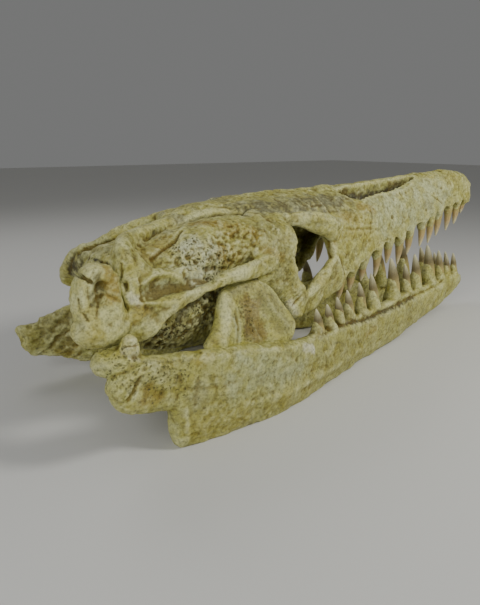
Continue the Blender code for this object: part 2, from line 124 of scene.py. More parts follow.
def meshOf(name, rings):
    rings = [np.array(ring, float) for ring in rings]
    count = len(rings[0])
    points = np.vstack(rings)
    faces = [tuple(reversed(range(count))), tuple(range((len(rings) - 1) * count, len(rings) * count))]
    for k in range(len(rings) - 1):
        for j in range(count):
            low, high = k * count, (k + 1) * count
            faces.append((low + j, low + (j + 1) % count, high + (j + 1) % count, high + j))
    mesh = bpy.data.meshes.new(name)
    mesh.from_pydata((points * mm).tolist(), [], faces)
    bm = bmesh.new()
    bm.from_mesh(mesh)
    bmesh.ops.recalc_face_normals(bm, faces=bm.faces)
    bm.to_mesh(mesh)
    bm.free()
    return bpy.data.objects.new(name, mesh)


# A bone along a curve: rows of (x, y, z, half size along the broad direction, half thickness)
def shaft(rows, broad, corner=2.4, steps=5, sides=36):
    rows = smoothRows(rows, steps)
    centres = rows[:, :3]
    sizes = np.maximum(rows[:, 3:5], 2)
    angles = 2 * np.pi * np.arange(sides) / sides
    wideShare = np.sign(np.cos(angles)) * np.abs(np.cos(angles)) ** (2 / corner)
    thinShare = np.sign(np.sin(angles)) * np.abs(np.sin(angles)) ** (2 / corner)
    rings = []
    for k in range(len(rows)):
        tangent = centres[min(k + 1, len(rows) - 1)] - centres[max(k - 1, 0)]
        tangent /= np.linalg.norm(tangent)
        wide = np.array(broad, float)
        wide -= wide.dot(tangent) * tangent
        wide /= np.linalg.norm(wide)
        thin = np.cross(tangent, wide)
        slices = [(0.0, 1.0)]
        if k == 0:
            slices = [(-0.62, 0.3), (-0.5, 0.62), (-0.28, 0.87), (0.0, 1.0)]
        if k == len(rows) - 1:
            slices = [(0.0, 1.0), (0.28, 0.87), (0.5, 0.62), (0.62, 0.3)]
        for along, scale in slices:
            middle = centres[k] + tangent * along * sizes[k].min()
            rings.append(middle + np.outer(wideShare, wide) * sizes[k][0] * scale
                         + np.outer(thinShare, thin) * sizes[k][1] * scale)
    return meshOf("shaft", rings)


# A bone like a gutter upside down: rows of (x, top, half width, margin, top of the hollow)
def gutter(rows, wall, steps=5, sides=40):
    angles = np.pi * np.arange(sides + 1) / sides
    rings = []
    for x, top, half, margin, hollow in smoothRows(rows, steps):
        inner = max(half - wall, 0.35 * half)
        outside = np.stack([np.full(sides + 1, x), -half * np.cos(angles),
                            margin + (top - margin) * np.sin(angles) ** 0.8], 1)
        inside = np.stack([np.full(sides + 1, x), -inner * np.cos(angles),
                           margin + 0.5 + (hollow - margin) * np.abs(np.sin(angles)) ** 0.7], 1)
        rings.append(np.vstack([outside, inside[::-1]]))
    return meshOf("gutter", rings)


def knob(centre, size):
    bm = bmesh.new()
    bmesh.ops.create_icosphere(bm, subdivisions=4, radius=1.0)
    stretch = Matrix.Diagonal((*(s * mm for s in size), 1))
    bmesh.ops.transform(bm, matrix=Matrix.Translation(Vector(centre) * mm) @ stretch, verts=bm.verts)
    mesh = bpy.data.meshes.new("knob")
    bm.to_mesh(mesh)
    bm.free()
    return bpy.data.objects.new("knob", mesh)


# A cone of bone round the foot of a tooth
def pedestal(jawWord, side, row):
    base, top, share = teeth[jawWord + "Pedestal"]
    rise = share * row[3]
    root, tip = toothEnds(jawWord, side, row)
    axis = (tip - root).normalized()
    foot = Vector(toothFoot(jawWord, side, row))
    radius = toothRadius(row)
    steps = ((-7, base * 1.05), (-1, base), (rise * 0.4, 0.5 * base + 0.5 * top), (rise * 0.8, top),
             (rise, 0.78 * top))
    rows = [(*(foot + axis * along), radius * scale, radius * scale) for along, scale in steps]
    return shaft(rows, (1, 0, 0), corner=2.0, steps=3, sides=24)


def onSide(rows, side):
    return [(row[0], side * row[1], *row[2:]) for row in rows]


def applied(obj, name):
    bpy.context.view_layer.update()
    mesh = bpy.data.meshes.new_from_object(obj.evaluated_get(bpy.context.evaluated_depsgraph_get()))
    bpy.data.objects.remove(obj, do_unlink=True)
    made = bpy.data.objects.new(name, mesh)
    bpy.context.scene.collection.objects.link(made)
    return made


def cutAway(bone, cutter):
    for obj in (bone, cutter):
        if not obj.users_collection:
            bpy.context.scene.collection.objects.link(obj)
    cut = bone.modifiers.new("cut", "BOOLEAN")
    cut.solver = "EXACT"
    cut.object = cutter
    made = applied(bone, bone.name)
    bpy.data.objects.remove(cutter, do_unlink=True)
    return made


# Grows overlapping lofts together into one skin of even little quads, then softens it
def grownTogether(name, pieces, voxel, soften):
    bm = bmesh.new()
    for piece in pieces:
        bm.from_mesh(piece.data)
        bpy.data.objects.remove(piece, do_unlink=True)
    mesh = bpy.data.meshes.new(name)
    bm.to_mesh(mesh)
    bm.free()
    rough = bpy.data.objects.new(name, mesh)
    bpy.context.scene.collection.objects.link(rough)
    skin = rough.modifiers.new("skin", "REMESH")
    skin.mode = "VOXEL"
    skin.voxel_size = voxel * mm
    ease = rough.modifiers.new("ease", "SMOOTH")
    ease.factor = 0.5
    ease.iterations = soften
    return applied(rough, name)


def readShape(mesh):
    points = np.empty(len(mesh.vertices) * 3, np.float32)
    mesh.vertices.foreach_get("co", points)
    normals = np.empty(len(mesh.vertices) * 3, np.float32)
    mesh.vertex_normals.foreach_get("vector", normals)
    return points.reshape(-1, 3).astype(float) / mm, normals.reshape(-1, 3).astype(float)


def writeShape(mesh, points):
    mesh.vertices.foreach_set("co", (points * mm).astype(np.float32).ravel())
    mesh.update()


def edgesOf(mesh):
    edges = np.empty(len(mesh.edges) * 2, np.int32)
    mesh.edges.foreach_get("vertices", edges)
    return edges.reshape(-1, 2)


def evenOut(values, edges, times):
    values = values.copy()
    links = np.maximum(np.bincount(edges.ravel(), minlength=len(values)), 1)
    for _ in range(times):
        near = np.bincount(edges[:, 0], values[edges[:, 1]], len(values))
        near += np.bincount(edges[:, 1], values[edges[:, 0]], len(values))
        values = 0.5 * values + 0.5 * near / links
    return values


# Distance of every point from a line of given points, or from one point
def distanceFrom(points, line):
    line = np.array(line, float)
    if len(line) == 1:
        return np.linalg.norm(points - line[0], axis=1)
    best = np.full(len(points), 1e9)
    for a, b in zip(line, line[1:]):
        span = b - a
        share = np.clip((points - a) @ span / max(span @ span, 1e-6), 0, 1)
        best = np.minimum(best, np.linalg.norm(points - a - share[:, None] * span, axis=1))
    return best


def cloud(points, size, seed, octaves=3):
    offset = Vector((seed * 7.3, seed * 3.1, seed * 5.7))
    scale = 1 / size
    return np.array([noise.fractal(Vector(p) * scale + offset, 0.8, 2.0, octaves) for p in points.tolist()])


def cells(points, size, seed):
    offset = Vector((seed * 2.9, seed * 8.3, seed * 4.1))
    return np.array([noise.voronoi(Vector(p) / size + offset)[0][0] for p in points.tolist()])


# Carves grooves and raises ridges: each mark is (width, height, line of points); a groove's height is negative
def carve(mesh, marks):
    points, normals = readShape(mesh)
    push = np.zeros(len(points))
    for width, height, line in marks:
        low = np.min(line, axis=0) - 3 * width
        high = np.max(line, axis=0) + 3 * width
        inside = np.where(np.all((points > low) & (points < high), axis=1))[0]
        if len(inside):
            push[inside] += height * np.exp(-(distanceFrom(points[inside], line) / width) ** 2)
    writeShape(mesh, points + normals * push[:, None])


# Uneven natural surface, (size, height) pairs in millimetres
def weather(mesh, waves, seed):
    points, normals = readShape(mesh)
    push = sum(height * cloud(points, size, seed + k) for k, (size, height) in enumerate(waves))
    writeShape(mesh, points + normals * push[:, None])


# Flaked layers: low plates with stepped edges, (size, height) pairs
def flake(mesh, layers, seed):
    points, normals = readShape(mesh)
    push = sum(height * np.tanh(11 * cloud(points, size, seed + k))
               for k, (size, height) in enumerate(layers))
    writeShape(mesh, points + normals * push[:, None])


# Eases the skin inside some patches, so that bones grown together there show no seam
def soothe(mesh, patches):
    points, _ = readShape(mesh)
    edges = edgesOf(mesh)
    for radius, times, line in patches:
        share = spread(points, line, radius, 1)
        even = np.stack([evenOut(points[:, axis], edges, times) for axis in range(3)], 1)
        points += (even - points) * share[:, None]
    writeShape(mesh, points)


# Rough, crumbly ground where rock was left on the bone
def crumble(mesh, patches, seed):
    points, normals = readShape(mesh)
    push = np.zeros(len(points))
    for radius, height, line in patches:
        share = spread(points, line, radius, seed)
        inside = np.where(share > 0.02)[0]
        if len(inside):
            rough = cells(points[inside], 6.5, seed) - 0.45 + 0.6 * cloud(points[inside], 9, seed)
            push[inside] += height * share[inside] * rough
    writeShape(mesh, points + normals * push[:, None])


# Share of a ragged patch along a line, from 1 inside to 0 outside
def spread(points, line, radius, seed):
    distance = distanceFrom(points, line)
    share = np.zeros(len(points))
    inside = np.where(distance < radius * 1.5)[0]
    if len(inside):
        ragged = distance[inside] + 0.45 * radius * cloud(points[inside], max(6, radius * 0.5), seed, 4)
        share[inside] = np.clip((radius - ragged) / (0.6 * radius), 0, 1)
        share[inside] = share[inside] ** 2 * (3 - 2 * share[inside])
    return share


# How open each point is to the air, from a few rays off the surface
def openness(mesh, reach):
    tree = BVHTree.FromPolygons([v.co for v in mesh.vertices], [tuple(p.vertices) for p in mesh.polygons])
    points, normals = readShape(mesh)
    helper = np.where(np.abs(normals[:, 2:3]) < 0.8, [[0.0, 0.0, 1.0]], [[1.0, 0.0, 0.0]])
    sideways = np.cross(normals, helper)
    sideways /= np.linalg.norm(sideways, axis=1)[:, None]
    upwards = np.cross(normals, sideways)
    clear = np.zeros(len(points))
    turns = (0.3, 1.56, 2.8, 4.1, 5.3)
    fan = [(1.0, 0.0, 0.0)] + [(0.62, 0.78 * math.cos(turn), 0.78 * math.sin(turn)) for turn in turns]
    for out, right, up in fan:
        rays = (normals * out + sideways * right + upwards * up).tolist()
        starts = ((points + normals * 0.8) * mm).tolist()
        clear += [tree.ray_cast(start, ray, reach * mm)[0] is None for start, ray in zip(starts, rays)]
    return clear / len(fan)


def saveValue(mesh, name, values):
    mesh.attributes.new(name, "FLOAT", "POINT").data.foreach_set("value", np.asarray(values, np.float32))


def saveTone(mesh, tone):
    coloured = np.hstack([tone, np.ones((len(tone), 1))]).astype(np.float32)
    mesh.attributes.new("tone", "FLOAT_COLOR", "POINT").data.foreach_set("color", coloured.ravel())


# Lays a colour over the tones painted so far; level makes the colour brighter or darker
def laidOver(tone, colour, share, level=1.0):
    return tone * (1 - share) + np.array(linear(colour)) * level * share


ageingAndShading = {
    "yellowing": (38, 0.35),    # size of the clouds of yellower bone in mm, and their strength
    # (colour, strength, size in mm, rarity) of the uneven patches all over the bone
    "patches": [("ivory", 0.6, 17, 1), ("olive", 0.75, 12, 2), ("rust", 0.5, 7, 3)],
    "dirtAndShade": 0.85,               # dirt and painted shade in the hollows
    "wearAndHighlight": 0.75,               # wear and painted highlight on what stands proud
    "depth": 0.3,               # brightness of the painted shade deep inside, laid in the rock colour
}


# Paints the bone's own colour and stains, rust for dirt and painted shade in the hollows, ivory for wear and
# painted highlight on what stands proud, and painted shade deep inside where few rays get out; notes where it
# is hollow or spongy
def paint(mesh, stains, spongyPatches, seed, reach, paintedShadeStrength):
    points, normals = readShape(mesh)
    edges = edgesOf(mesh)
    tone = np.tile(linear("cream"), (len(points), 1))
    size, strength = ageingAndShading["yellowing"]
    blotch = np.clip(0.5 + 1.1 * cloud(points, size, seed), 0, 1)[:, None]
    tone = laidOver(tone, "straw", strength * blotch)
    for colour, strength, size, rarity in ageingAndShading["patches"]:
        share = np.clip(1.8 * cloud(points, size, seed + 6 + rarity, 4) - 0.12 * rarity, 0, 1)
        tone = laidOver(tone, colour, share[:, None] * strength)
    for colour, strength, radius, line in stains:
        tone = laidOver(tone, colour, spread(points, line, radius, seed + 3)[:, None] * strength)
    hollow = np.zeros(len(points))
    for times, gain in ((3, 2.2), (16, 0.7)):
        for axis in range(3):
            hollow += gain * (evenOut(points[:, axis], edges, times) - points[:, axis]) * normals[:, axis]
    hollow = np.clip(hollow, -1, 1)
    # Painted shade: where few rays get out, the bone is darkened towards the dark rock colour.
    air = evenOut(openness(mesh, reach), edges, 3)
    paintedShadeShare = np.clip((0.6 - air) / 0.4, 0, 1)[:, None] * paintedShadeStrength
    tone = laidOver(tone, "umber", paintedShadeShare, ageingAndShading["depth"])
    # Rust in the hollows: dirt, and painted shade that deepens them.
    tone = laidOver(tone, "rust", np.clip(hollow, 0, 1)[:, None] * ageingAndShading["dirtAndShade"])
    # Ivory on what stands proud: wear, and painted highlight.
    tone = laidOver(tone, "ivory", np.clip(-hollow, 0, 1)[:, None] * ageingAndShading["wearAndHighlight"] * (1 - paintedShadeShare))
    saveTone(mesh, tone)
    saveValue(mesh, "hollow", np.clip(hollow, 0, 1))
    spongy = np.zeros(len(points))
    for strength, radius, line in spongyPatches:
        spongy = np.maximum(spongy, strength * spread(points, line, radius, seed + 5))
    saveValue(mesh, "spongy", spongy)


def placed(obj, node, material):
    obj.data.transform(Matrix.Translation(Vector(centreShift) * mm))
    obj.data.materials.clear()
    obj.data.materials.append(material)
    obj.data.shade_smooth()
    if not obj.users_collection:
        bpy.context.scene.collection.objects.link(obj)
    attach(obj, "root")
    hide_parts(node)


# Starts a material: its tree and shader, the place on the piece, the painted tone and two saved values
def begin(name, firstValue, secondValue):
    material = bpy.data.materials.new(name)
    material.use_nodes = True
    tree = material.node_tree
    place = addNode(tree, "TexCoord", {}, {}).outputs["Object"]
    tone, first, second = [addNode(tree, "Attribute", {"attribute_name": saved}, {})
                           for saved in ("tone", firstValue, secondValue)]
    return (material, tree, tree.nodes["Principled BSDF"], place, tone.outputs["Color"],
            first.outputs["Fac"], second.outputs["Fac"])


def finish(shader, colour, gloss, bump, ior):
    links = shader.id_data.links
    links.new(colour, shader.inputs["Base Color"])
    links.new(gloss.outputs[0], shader.inputs["Roughness"])
    links.new(bump.outputs["Normal"], shader.inputs["Normal"])
    shader.inputs["IOR"].default_value = ior


# Mineralised bone, cleaned and lacquered: dull, with a faint soft gloss on what stands proud
def fossilBone(name, look):
    material, tree, shader, place, tone, hollow, spongy = begin(name, "hollow", "spongy")
    # clouds of yellower bone a finger wide
    mottle = addNode(tree, "TexNoise", {}, {"Vector": place, "Scale": across(look["mottle"]), "Detail": 6.0,
                                            "Roughness": 0.62})
    mottleShare = addNode(tree, "ValToRGB", {"stops": [(0.44, 0.0), (0.62, 1.0)]},
                          {"Fac": mottle.outputs["Fac"]})
    warm = addNode(tree, "Mix", darkening, {0: mottleShare.outputs["Color"], 6: tone, 7: look["warmth"]})
    # pores and specks a millimetre or two across
    speck = addNode(tree, "TexNoise", {}, {"Vector": place, "Scale": across(look["speck"]), "Detail": 4.0,
                                           "Roughness": 0.7})
    speckShare = addNode(tree, "ValToRGB", {"stops": [(0.34, 0.5), (0.48, 0.95), (0.62, 1.12)]},
                         {"Fac": speck.outputs["Fac"]})
    speckled = addNode(tree, "Mix", darkening, {0: 1.0, 6: warm.outputs[2], 7: speckShare.outputs["Color"]})
    # fibres that run along the skull, drawn coarser than real ones so that they show
    length, width = look["fibreSize"]
    along = addNode(tree, "Mapping", {}, {
        "Vector": place, "Scale": (across(length), across(width), across(width))})
    fibre = addNode(tree, "TexNoise", {}, {"Vector": along.outputs["Vector"], "Scale": 1.0, "Detail": 3.0,
                                           "Roughness": 0.6})
    fibreShare = addNode(tree, "ValToRGB", {"stops": [(0.35, 0.88), (0.62, 1.05)]},
                         {"Fac": fibre.outputs["Fac"]})
    fibred = addNode(tree, "Mix", darkening,
                     {0: look["fibre"], 6: speckled.outputs[2], 7: fibreShare.outputs["Color"]})
    # hairline drying cracks
    bend = addNode(tree, "TexNoise", {}, {"Vector": place, "Scale": across(20), "Detail": 3.0})
    bent = addNode(tree, "VectorMath", {"operation": "MULTIPLY_ADD"},
                   {0: bend.outputs["Color"], 1: (0.016, 0.016, 0.016), 2: place})
    crack = addNode(tree, "TexVoronoi", {"feature": "DISTANCE_TO_EDGE"},
                    {"Vector": bent.outputs["Vector"], "Scale": across(look["crackSpacing"])})
    crackLine = addNode(tree, "ValToRGB", {"stops": [(0.0, 1.0), (0.022, 0.0)]},
                        {"Fac": crack.outputs["Distance"]})
    crackBreak = addNode(tree, "Math", {"operation": "MULTIPLY"},
                         {0: crackLine.outputs["Color"], 1: mottleShare.outputs["Color"]})
    crackShare = addNode(tree, "Math", {"operation": "MULTIPLY"},
                         {0: crackBreak.outputs[0], 1: look["crack"]})
    cracked = addNode(tree, "Mix", covering,
                      {0: crackShare.outputs[0], 6: fibred.outputs[2], 7: (*linear("umber"), 1)})
    # open pores where the bone or the rock is spongy
    pore = addNode(tree, "TexVoronoi", {"feature": "F1"},
                   {"Vector": bent.outputs["Vector"], "Scale": across(look["pore"])})
    poreShare = addNode(tree, "ValToRGB", {"stops": [(0.12, 1.0), (0.42, 0.0)]},
                        {"Fac": pore.outputs["Distance"]})
    poreMask = addNode(tree, "Math", {"operation": "MULTIPLY"}, {0: poreShare.outputs["Color"], 1: spongy})
    porous = addNode(tree, "Mix", covering,
                     {0: poreMask.outputs[0], 6: cracked.outputs[2], 7: (*linear("moss"), 1)})
    # relief in millimetres
    relief = addNode(tree, "Math", {"operation": "MULTIPLY"}, {0: speck.outputs["Fac"], 1: 0.7})
    for source, height in ((fibre.outputs["Fac"], 0.35), (crackShare.outputs[0], -0.5),
                           (poreMask.outputs[0], -1.2)):
        relief = addNode(tree, "Math", {"operation": "MULTIPLY_ADD"},
                         {0: source, 1: height, 2: relief.outputs[0]})
    bump = addNode(tree, "Bump", {}, {"Height": relief.outputs[0], "Strength": 1.0, "Distance": mm})
    gloss = addNode(tree, "MapRange", {}, {"Value": hollow, "To Min": look["roughness"], "To Max": 0.9})
    finish(shader, porous.outputs[2], gloss, bump, 1.5)
    return material


# Sizes of the patterns are in mm; crack, fibre and roughness are strengths from 0 to 1
skullBone = fossilBone("lacquered fossil skull bone", {
    "mottle": 16, "warmth": (0.84, 0.79, 0.52, 1), "speck": 2.4, "fibre": 0.5, "fibreSize": (24, 2.6),
    "crackSpacing": 34, "crack": 0.45, "pore": 3.4, "roughness": 0.5})
jawBone = fossilBone("lacquered fossil jaw bone", {
    "mottle": 18, "warmth": (0.84, 0.80, 0.52, 1), "speck": 2.6, "fibre": 0.8, "fibreSize": (24, 2.6),
    "crackSpacing": 42, "crack": 0.35, "pore": 3.4, "roughness": 0.48})
quadrateBone = fossilBone("lacquered fossil quadrate bone", {
    "mottle": 12, "warmth": (0.86, 0.81, 0.56, 1), "speck": 2.2, "fibre": 0.3, "fibreSize": (24, 2.6),
    "crackSpacing": 26, "crack": 0.3, "pore": 3.0, "roughness": 0.5})
print("bone materials ready")


# Teeth: (x, distance from the midline, z of the margin, height of the crown)
teeth = {
    "upper": [(316, 15, 181, 20), (293, 20, 180, 34), (270, 22, 176, 38), (240, 26, 169, 36),
              (219, 28, 164, 40), (196, 31, 160, 38), (160, 37, 149, 34), (133, 42, 143, 38),
              (103, 48, 140, 29), (74, 54, 136, 38), (40, 61, 127, 28), (14, 66, 117, 26), (-10, 71, 112, 28)],
    "lower": [(330, 6, 56, 38), (304, 10, 57, 38), (274, 15, 58, 49), (232, 23, 60, 62), (186, 33, 61, 54),
              (152, 41, 62, 44), (110, 50, 63, 59), (54, 62, 64, 47), (24, 68, 65, 40), (-6, 75, 65, 37),
              (-31, 82, 66, 33), (-54, 88, 67, 29), (-77, 94, 68, 28)],
    "rootDepth": 9,          # into the socket
    "slenderness": 0.14,     # radius over crown height
    "leastRadius": 5.6,
    "upperLean": 0.02,
    "lowerLean": 0.22,
    "tipX": 358,             # the tip of the snout
    "jawYaw": 0.035,         # the lower jaw has slipped to the right
    # cone of bone at the foot: its width below and above over the tooth's, and its height over the crown's
    "upperPedestal": (1.35, 0.9, 0.34),
    "lowerPedestal": (1.5, 0.88, 0.5),
    "archRise": 5.0,         # of the upper margin between two teeth
    "bow": 0.05,             # bend over length
    # over the radius: cutting edges fore and aft, ridges along the crown, lumps of the base
    "keel": 0.05,
    "ridge": 0.022,
    "lump": 0.07,
    "ridgeCount": 10,
    "sides": 32,
}


def toothEnds(jawWord, side, row):
    x, out, margin, crown = row
    if jawWord == "upper":
        return (Vector((x + 0.02 * crown, side * out, margin + teeth["rootDepth"])),
                Vector((x - teeth["upperLean"] * crown, side * (out + 0.05 * crown), margin - crown)))
    foot = -teeth["jawYaw"] * (teeth["tipX"] - x) + side * out
    return (Vector((x + 0.02 * crown, foot, margin - teeth["rootDepth"])),
            Vector((x - teeth["lowerLean"] * crown, foot + side * 0.04 * crown, margin + crown)))


def toothRadius(row):
    return max(teeth["leastRadius"], teeth["slenderness"] * row[3])


# Where a tooth stands at its margin
def toothFoot(jawWord, side, row):
    root, tip = toothEnds(jawWord, side, row)
    share = teeth["rootDepth"] / (teeth["rootDepth"] + row[3])
    return tuple(root.lerp(tip, share))


cranium = {
    "voxel": 1.8,
    "soften": 2,
    # (x, z of the top, half width, z of the tooth margin, z of the palate)
    "snout": [(358, 203, 4, 188, 190), (352, 209, 8, 182, 185), (342, 216, 14, 178, 184),
              (325, 223, 21, 178, 188), (300, 228, 27, 180, 194), (270, 229, 30, 175, 196),
              (235, 227, 33, 168, 193), (200, 225, 38, 160, 189), (160, 222, 44, 149, 184),
              (120, 219, 51, 141, 180), (85, 217, 58, 138, 178), (50, 215, 66, 130, 177),
              (15, 213, 74, 118, 176), (-10, 212, 80, 112, 178), (-30, 212, 83, 112, 182)],
    "snoutWall": 11,
    "nostril": [(36, 20, 216, 30, 5), (50, 25, 213, 30, 15), (68, 23, 215, 32, 14), (90, 21, 217, 32, 13),
                (115, 19, 219, 32, 12), (155, 14, 223, 30, 9), (192, 9, 227, 26, 4)],
    "roof": [(-18, 212, 58, 178), (-45, 212, 60, 178), (-75, 211, 62, 179), (-105, 210, 66, 178),
             (-125, 208, 60, 182)],
    "roofWall": 12,
    "parietal": [(-100, 0, 196, 52, 13), (-135, 0, 194, 36, 12), (-165, 0, 193, 27, 12),
                 (-205, 0, 187, 26, 12)],
    "postorbital": [(-116, 48, 192, 17, 9), (-119, 72, 186, 21, 8), (-128, 92, 176, 25, 7),
                    (-136, 101, 158, 25, 6), (-133, 101, 140, 23, 6)],
    "prefrontal": [(-106, 64, 190, 8, 6), (-70, 68, 187, 9, 6), (-45, 72, 181, 12, 7),
                   (-20, 74, 173, 14, 8)],
    "jugalUpright": [(-132, 101, 146, 24, 6), (-115, 98, 122, 18, 6), (-103, 97, 106, 18, 7),
                     (-105, 97, 92, 12, 9)],
    "jugalForward": [(-102, 96, 96, 12, 6), (-78, 91, 99, 13, 6), (-50, 86, 112, 19, 6), (-20, 79, 122, 22, 7)],
    "temporalBar": [(-128, 101, 157, 14, 6), (-160, 106, 152, 9, 6), (-195, 111, 149, 7, 6),
                    (-218, 113, 144, 6, 6)],
    "squamosalRight": [(-203, -112, 147, 4, 5), (-232, -114, 142, 6, 6), (-264, -113, 134, 11, 7),
                       (-286, -109, 122, 18, 8), (-296, -106, 112, 14, 7)],
    "squamosalLeft": [(-205, 111, 147, 4, 5), (-235, 112, 143, 8, 6), (-262, 109, 136, 10, 7),
                      (-280, 104, 128, 11, 8)],
    "pterygoid": [(-290, 72, 100, 9, 6), (-250, 48, 96, 13, 7), (-190, 34, 94, 14, 7), (-120, 28, 92, 14, 6),
                  (-50, 26, 92, 12, 6), (0, 32, 98, 11, 6), (30, 38, 112, 11, 6), (50, 44, 130, 10, 7),
                  (68, 50, 142, 10, 8)],
    "ectopterygoid": [(-112, 32, 94, 12, 6), (-85, 58, 104, 9, 6), (-58, 82, 112, 9, 6)],
    "templeRockRight": [(-262, -68, 148, 18, 16), (-235, -64, 155, 29, 30), (-198, -58, 160, 34, 37),
                        (-165, -56, 163, 33, 41), (-142, -56, 166, 31, 43), (-122, -54, 172, 21, 36)],
    "templeRockLeft": [(-262, 68, 146, 16, 16), (-235, 62, 147, 26, 28), (-198, 56, 150, 32, 35),
                       (-165, 54, 154, 34, 37), (-142, 54, 160, 31, 38), (-122, 52, 170, 20, 32)],
    "lowerRockRight": [(-288, -80, 102, 14, 12), (-262, -86, 106, 24, 12), (-225, -86, 111, 31, 13),
                       (-192, -84, 116, 28, 12)],
    "lowerRockLeft": [(-270, 56, 104, 14, 12), (-245, 58, 108, 22, 12), (-205, 58, 116, 26, 12)],
    "shelfRight": [(-288, -96, 152, 12, 8), (-255, -99, 151, 13, 8), (-222, -99, 149, 11, 8)],
    "shelfLeft": [(-265, 98, 140, 10, 6), (-240, 101, 146, 10, 6), (-215, 101, 150, 8, 6)],
    "ramusRight": [(-185, -12, 184, 18, 10), (-222, -26, 171, 24, 9), (-254, -50, 165, 27, 9),
                   (-277, -74, 162, 25, 10), (-285, -92, 154, 20, 11)],
    "crestRight": [(-232, -28, 184, 8, 7), (-258, -46, 182, 10, 7), (-278, -64, 180, 12, 8),
                   (-288, -80, 175, 14, 9), (-291, -90, 164, 14, 10)],
    "footRight": [(-268, -73, 164, 9, 8), (-256, -63, 170, 9, 8), (-240, -55, 176, 9, 8),
                  (-224, -49, 181, 8, 7)],
    "suspensorium": [(-285, -84, 170, 16, 11), (-286, -96, 154, 16, 11), (-285, -102, 135, 15, 10),
                     (-288, -104, 113, 11, 8)],
    "ramusLeft": [(-185, 12, 184, 18, 10), (-230, 26, 169, 20, 9), (-258, 48, 154, 18, 8),
                  (-274, 72, 142, 17, 9), (-281, 93, 125, 14, 10), (-282, 101, 113, 11, 9)],
    "paroccipitalRight": [(-262, -18, 142, 20, 12), (-280, -55, 142, 16, 9), (-288, -88, 145, 14, 8)],
    "paroccipitalLeft": [(-262, 18, 142, 20, 12), (-276, 50, 143, 14, 9), (-280, 84, 130, 13, 8)],
    "braincase": [(-165, 0, 160, 34, 26), (-205, 0, 146, 42, 32), (-245, 0, 138, 44, 36),
                  (-276, 0, 134, 34, 32)],
    "condyle": ((-296, 0, 126), (17, 17, 13)),
    # broad direction of each loft
    "single": {"ramusRight": (-0.8, -0.2, 0.6), "crestRight": (0, 0, 1), "footRight": (0, 0, 1),
               "suspensorium": (1, 0, 0), "ramusLeft": (-0.8, 0.2, 0.6), "paroccipitalRight": (0, 0, 1),
               "paroccipitalLeft": (0, 0, 1), "squamosalRight": (0, 0, 1), "squamosalLeft": (0, 0, 1),
               "shelfRight": (0, 0, 1), "shelfLeft": (0, 0, 1), "lowerRockRight": (0, 0, 1),
               "lowerRockLeft": (0, 0, 1)},
    "paired": {"postorbital": (1, 0, 0), "prefrontal": (0, 0, 1), "jugalUpright": (1, 0, 0),
               "jugalForward": (0, 0, 1), "temporalBar": (0, 0, 1), "pterygoid": (0, 1, 0),
               "ectopterygoid": (1, 0, 0)},
    "waves": [(45, 1.2), (16, 0.6), (6, 0.4)],    # (size, height) in mm
    "flakes": [(38, 0.4), (15, 0.24)],
    "seed": 11,
}

# Relief of the front of the skull, the same on both sides: (width, height, line)
cranium["frontMarks"] = [
    (2.2, -1.8, [(-152, 24, 203), (-144, 27, 202), (-136, 45, 199), (-125, 62, 195), (-124, 80, 190)]),
    (2.2, -0.8, [(-30, 74, 172), (1, 67, 171), (19, 66, 169), (37, 63, 167), (55, 61, 166)]),
    (2.2, -0.7, [(63, 50, 190), (61, 54, 181), (56, 60, 172), (52, 62, 161), (55, 64, 148), (57, 64, 138)]),
    (2.0, -1.2, [(40, 36, 205), (20, 44, 203), (-10, 47, 202), (-40, 50, 199)]),
    (1.6, -1.0, [(178, 30, 208), (205, 34, 200), (232, 32, 188), (246, 31, 178)]),
    (2.6, 1.6, [(32, 34, 206), (38, 43, 201), (50, 47, 197), (64, 42, 201), (90, 36, 205), (113, 33, 206),
                (140, 31, 205), (163, 28, 210), (179, 22, 215)]),
    (3.0, -3.0, [(109, 49, 174)]), (2.4, -2.2, [(242, 28, 205)]), (2.6, -2.6, [(310, 23, 198)]),
    (2.8, -3.0, [(-32, 60, 181)]), (2.4, -2.4, [(150, 42, 170)]), (2.4, -2.2, [(196, 37, 176)]),
    (4.5, 2.6, [(-30, 66, 178), (-32, 76, 162), (-36, 84, 142), (-50, 89, 124), (-78, 94, 108),
                (-98, 98, 104)]),
    (4.5, 2.4, [(-106, 72, 178), (-108, 90, 168), (-112, 98, 150), (-108, 99, 130), (-100, 100, 112)]),
    (7, -1.6, [(-130, 104, 166), (-128, 106, 150), (-122, 104, 134)]),
    (2.2, -2.2, [(-112, 104, 104), (-104, 103, 110), (-96, 101, 114)]),
    (7, 3.2, [(-112, 104, 100)]),
    (8, 1.6, [(-112, 0, 212), (-60, 0, 213), (0, 0, 214), (30, 0, 215)]),
]
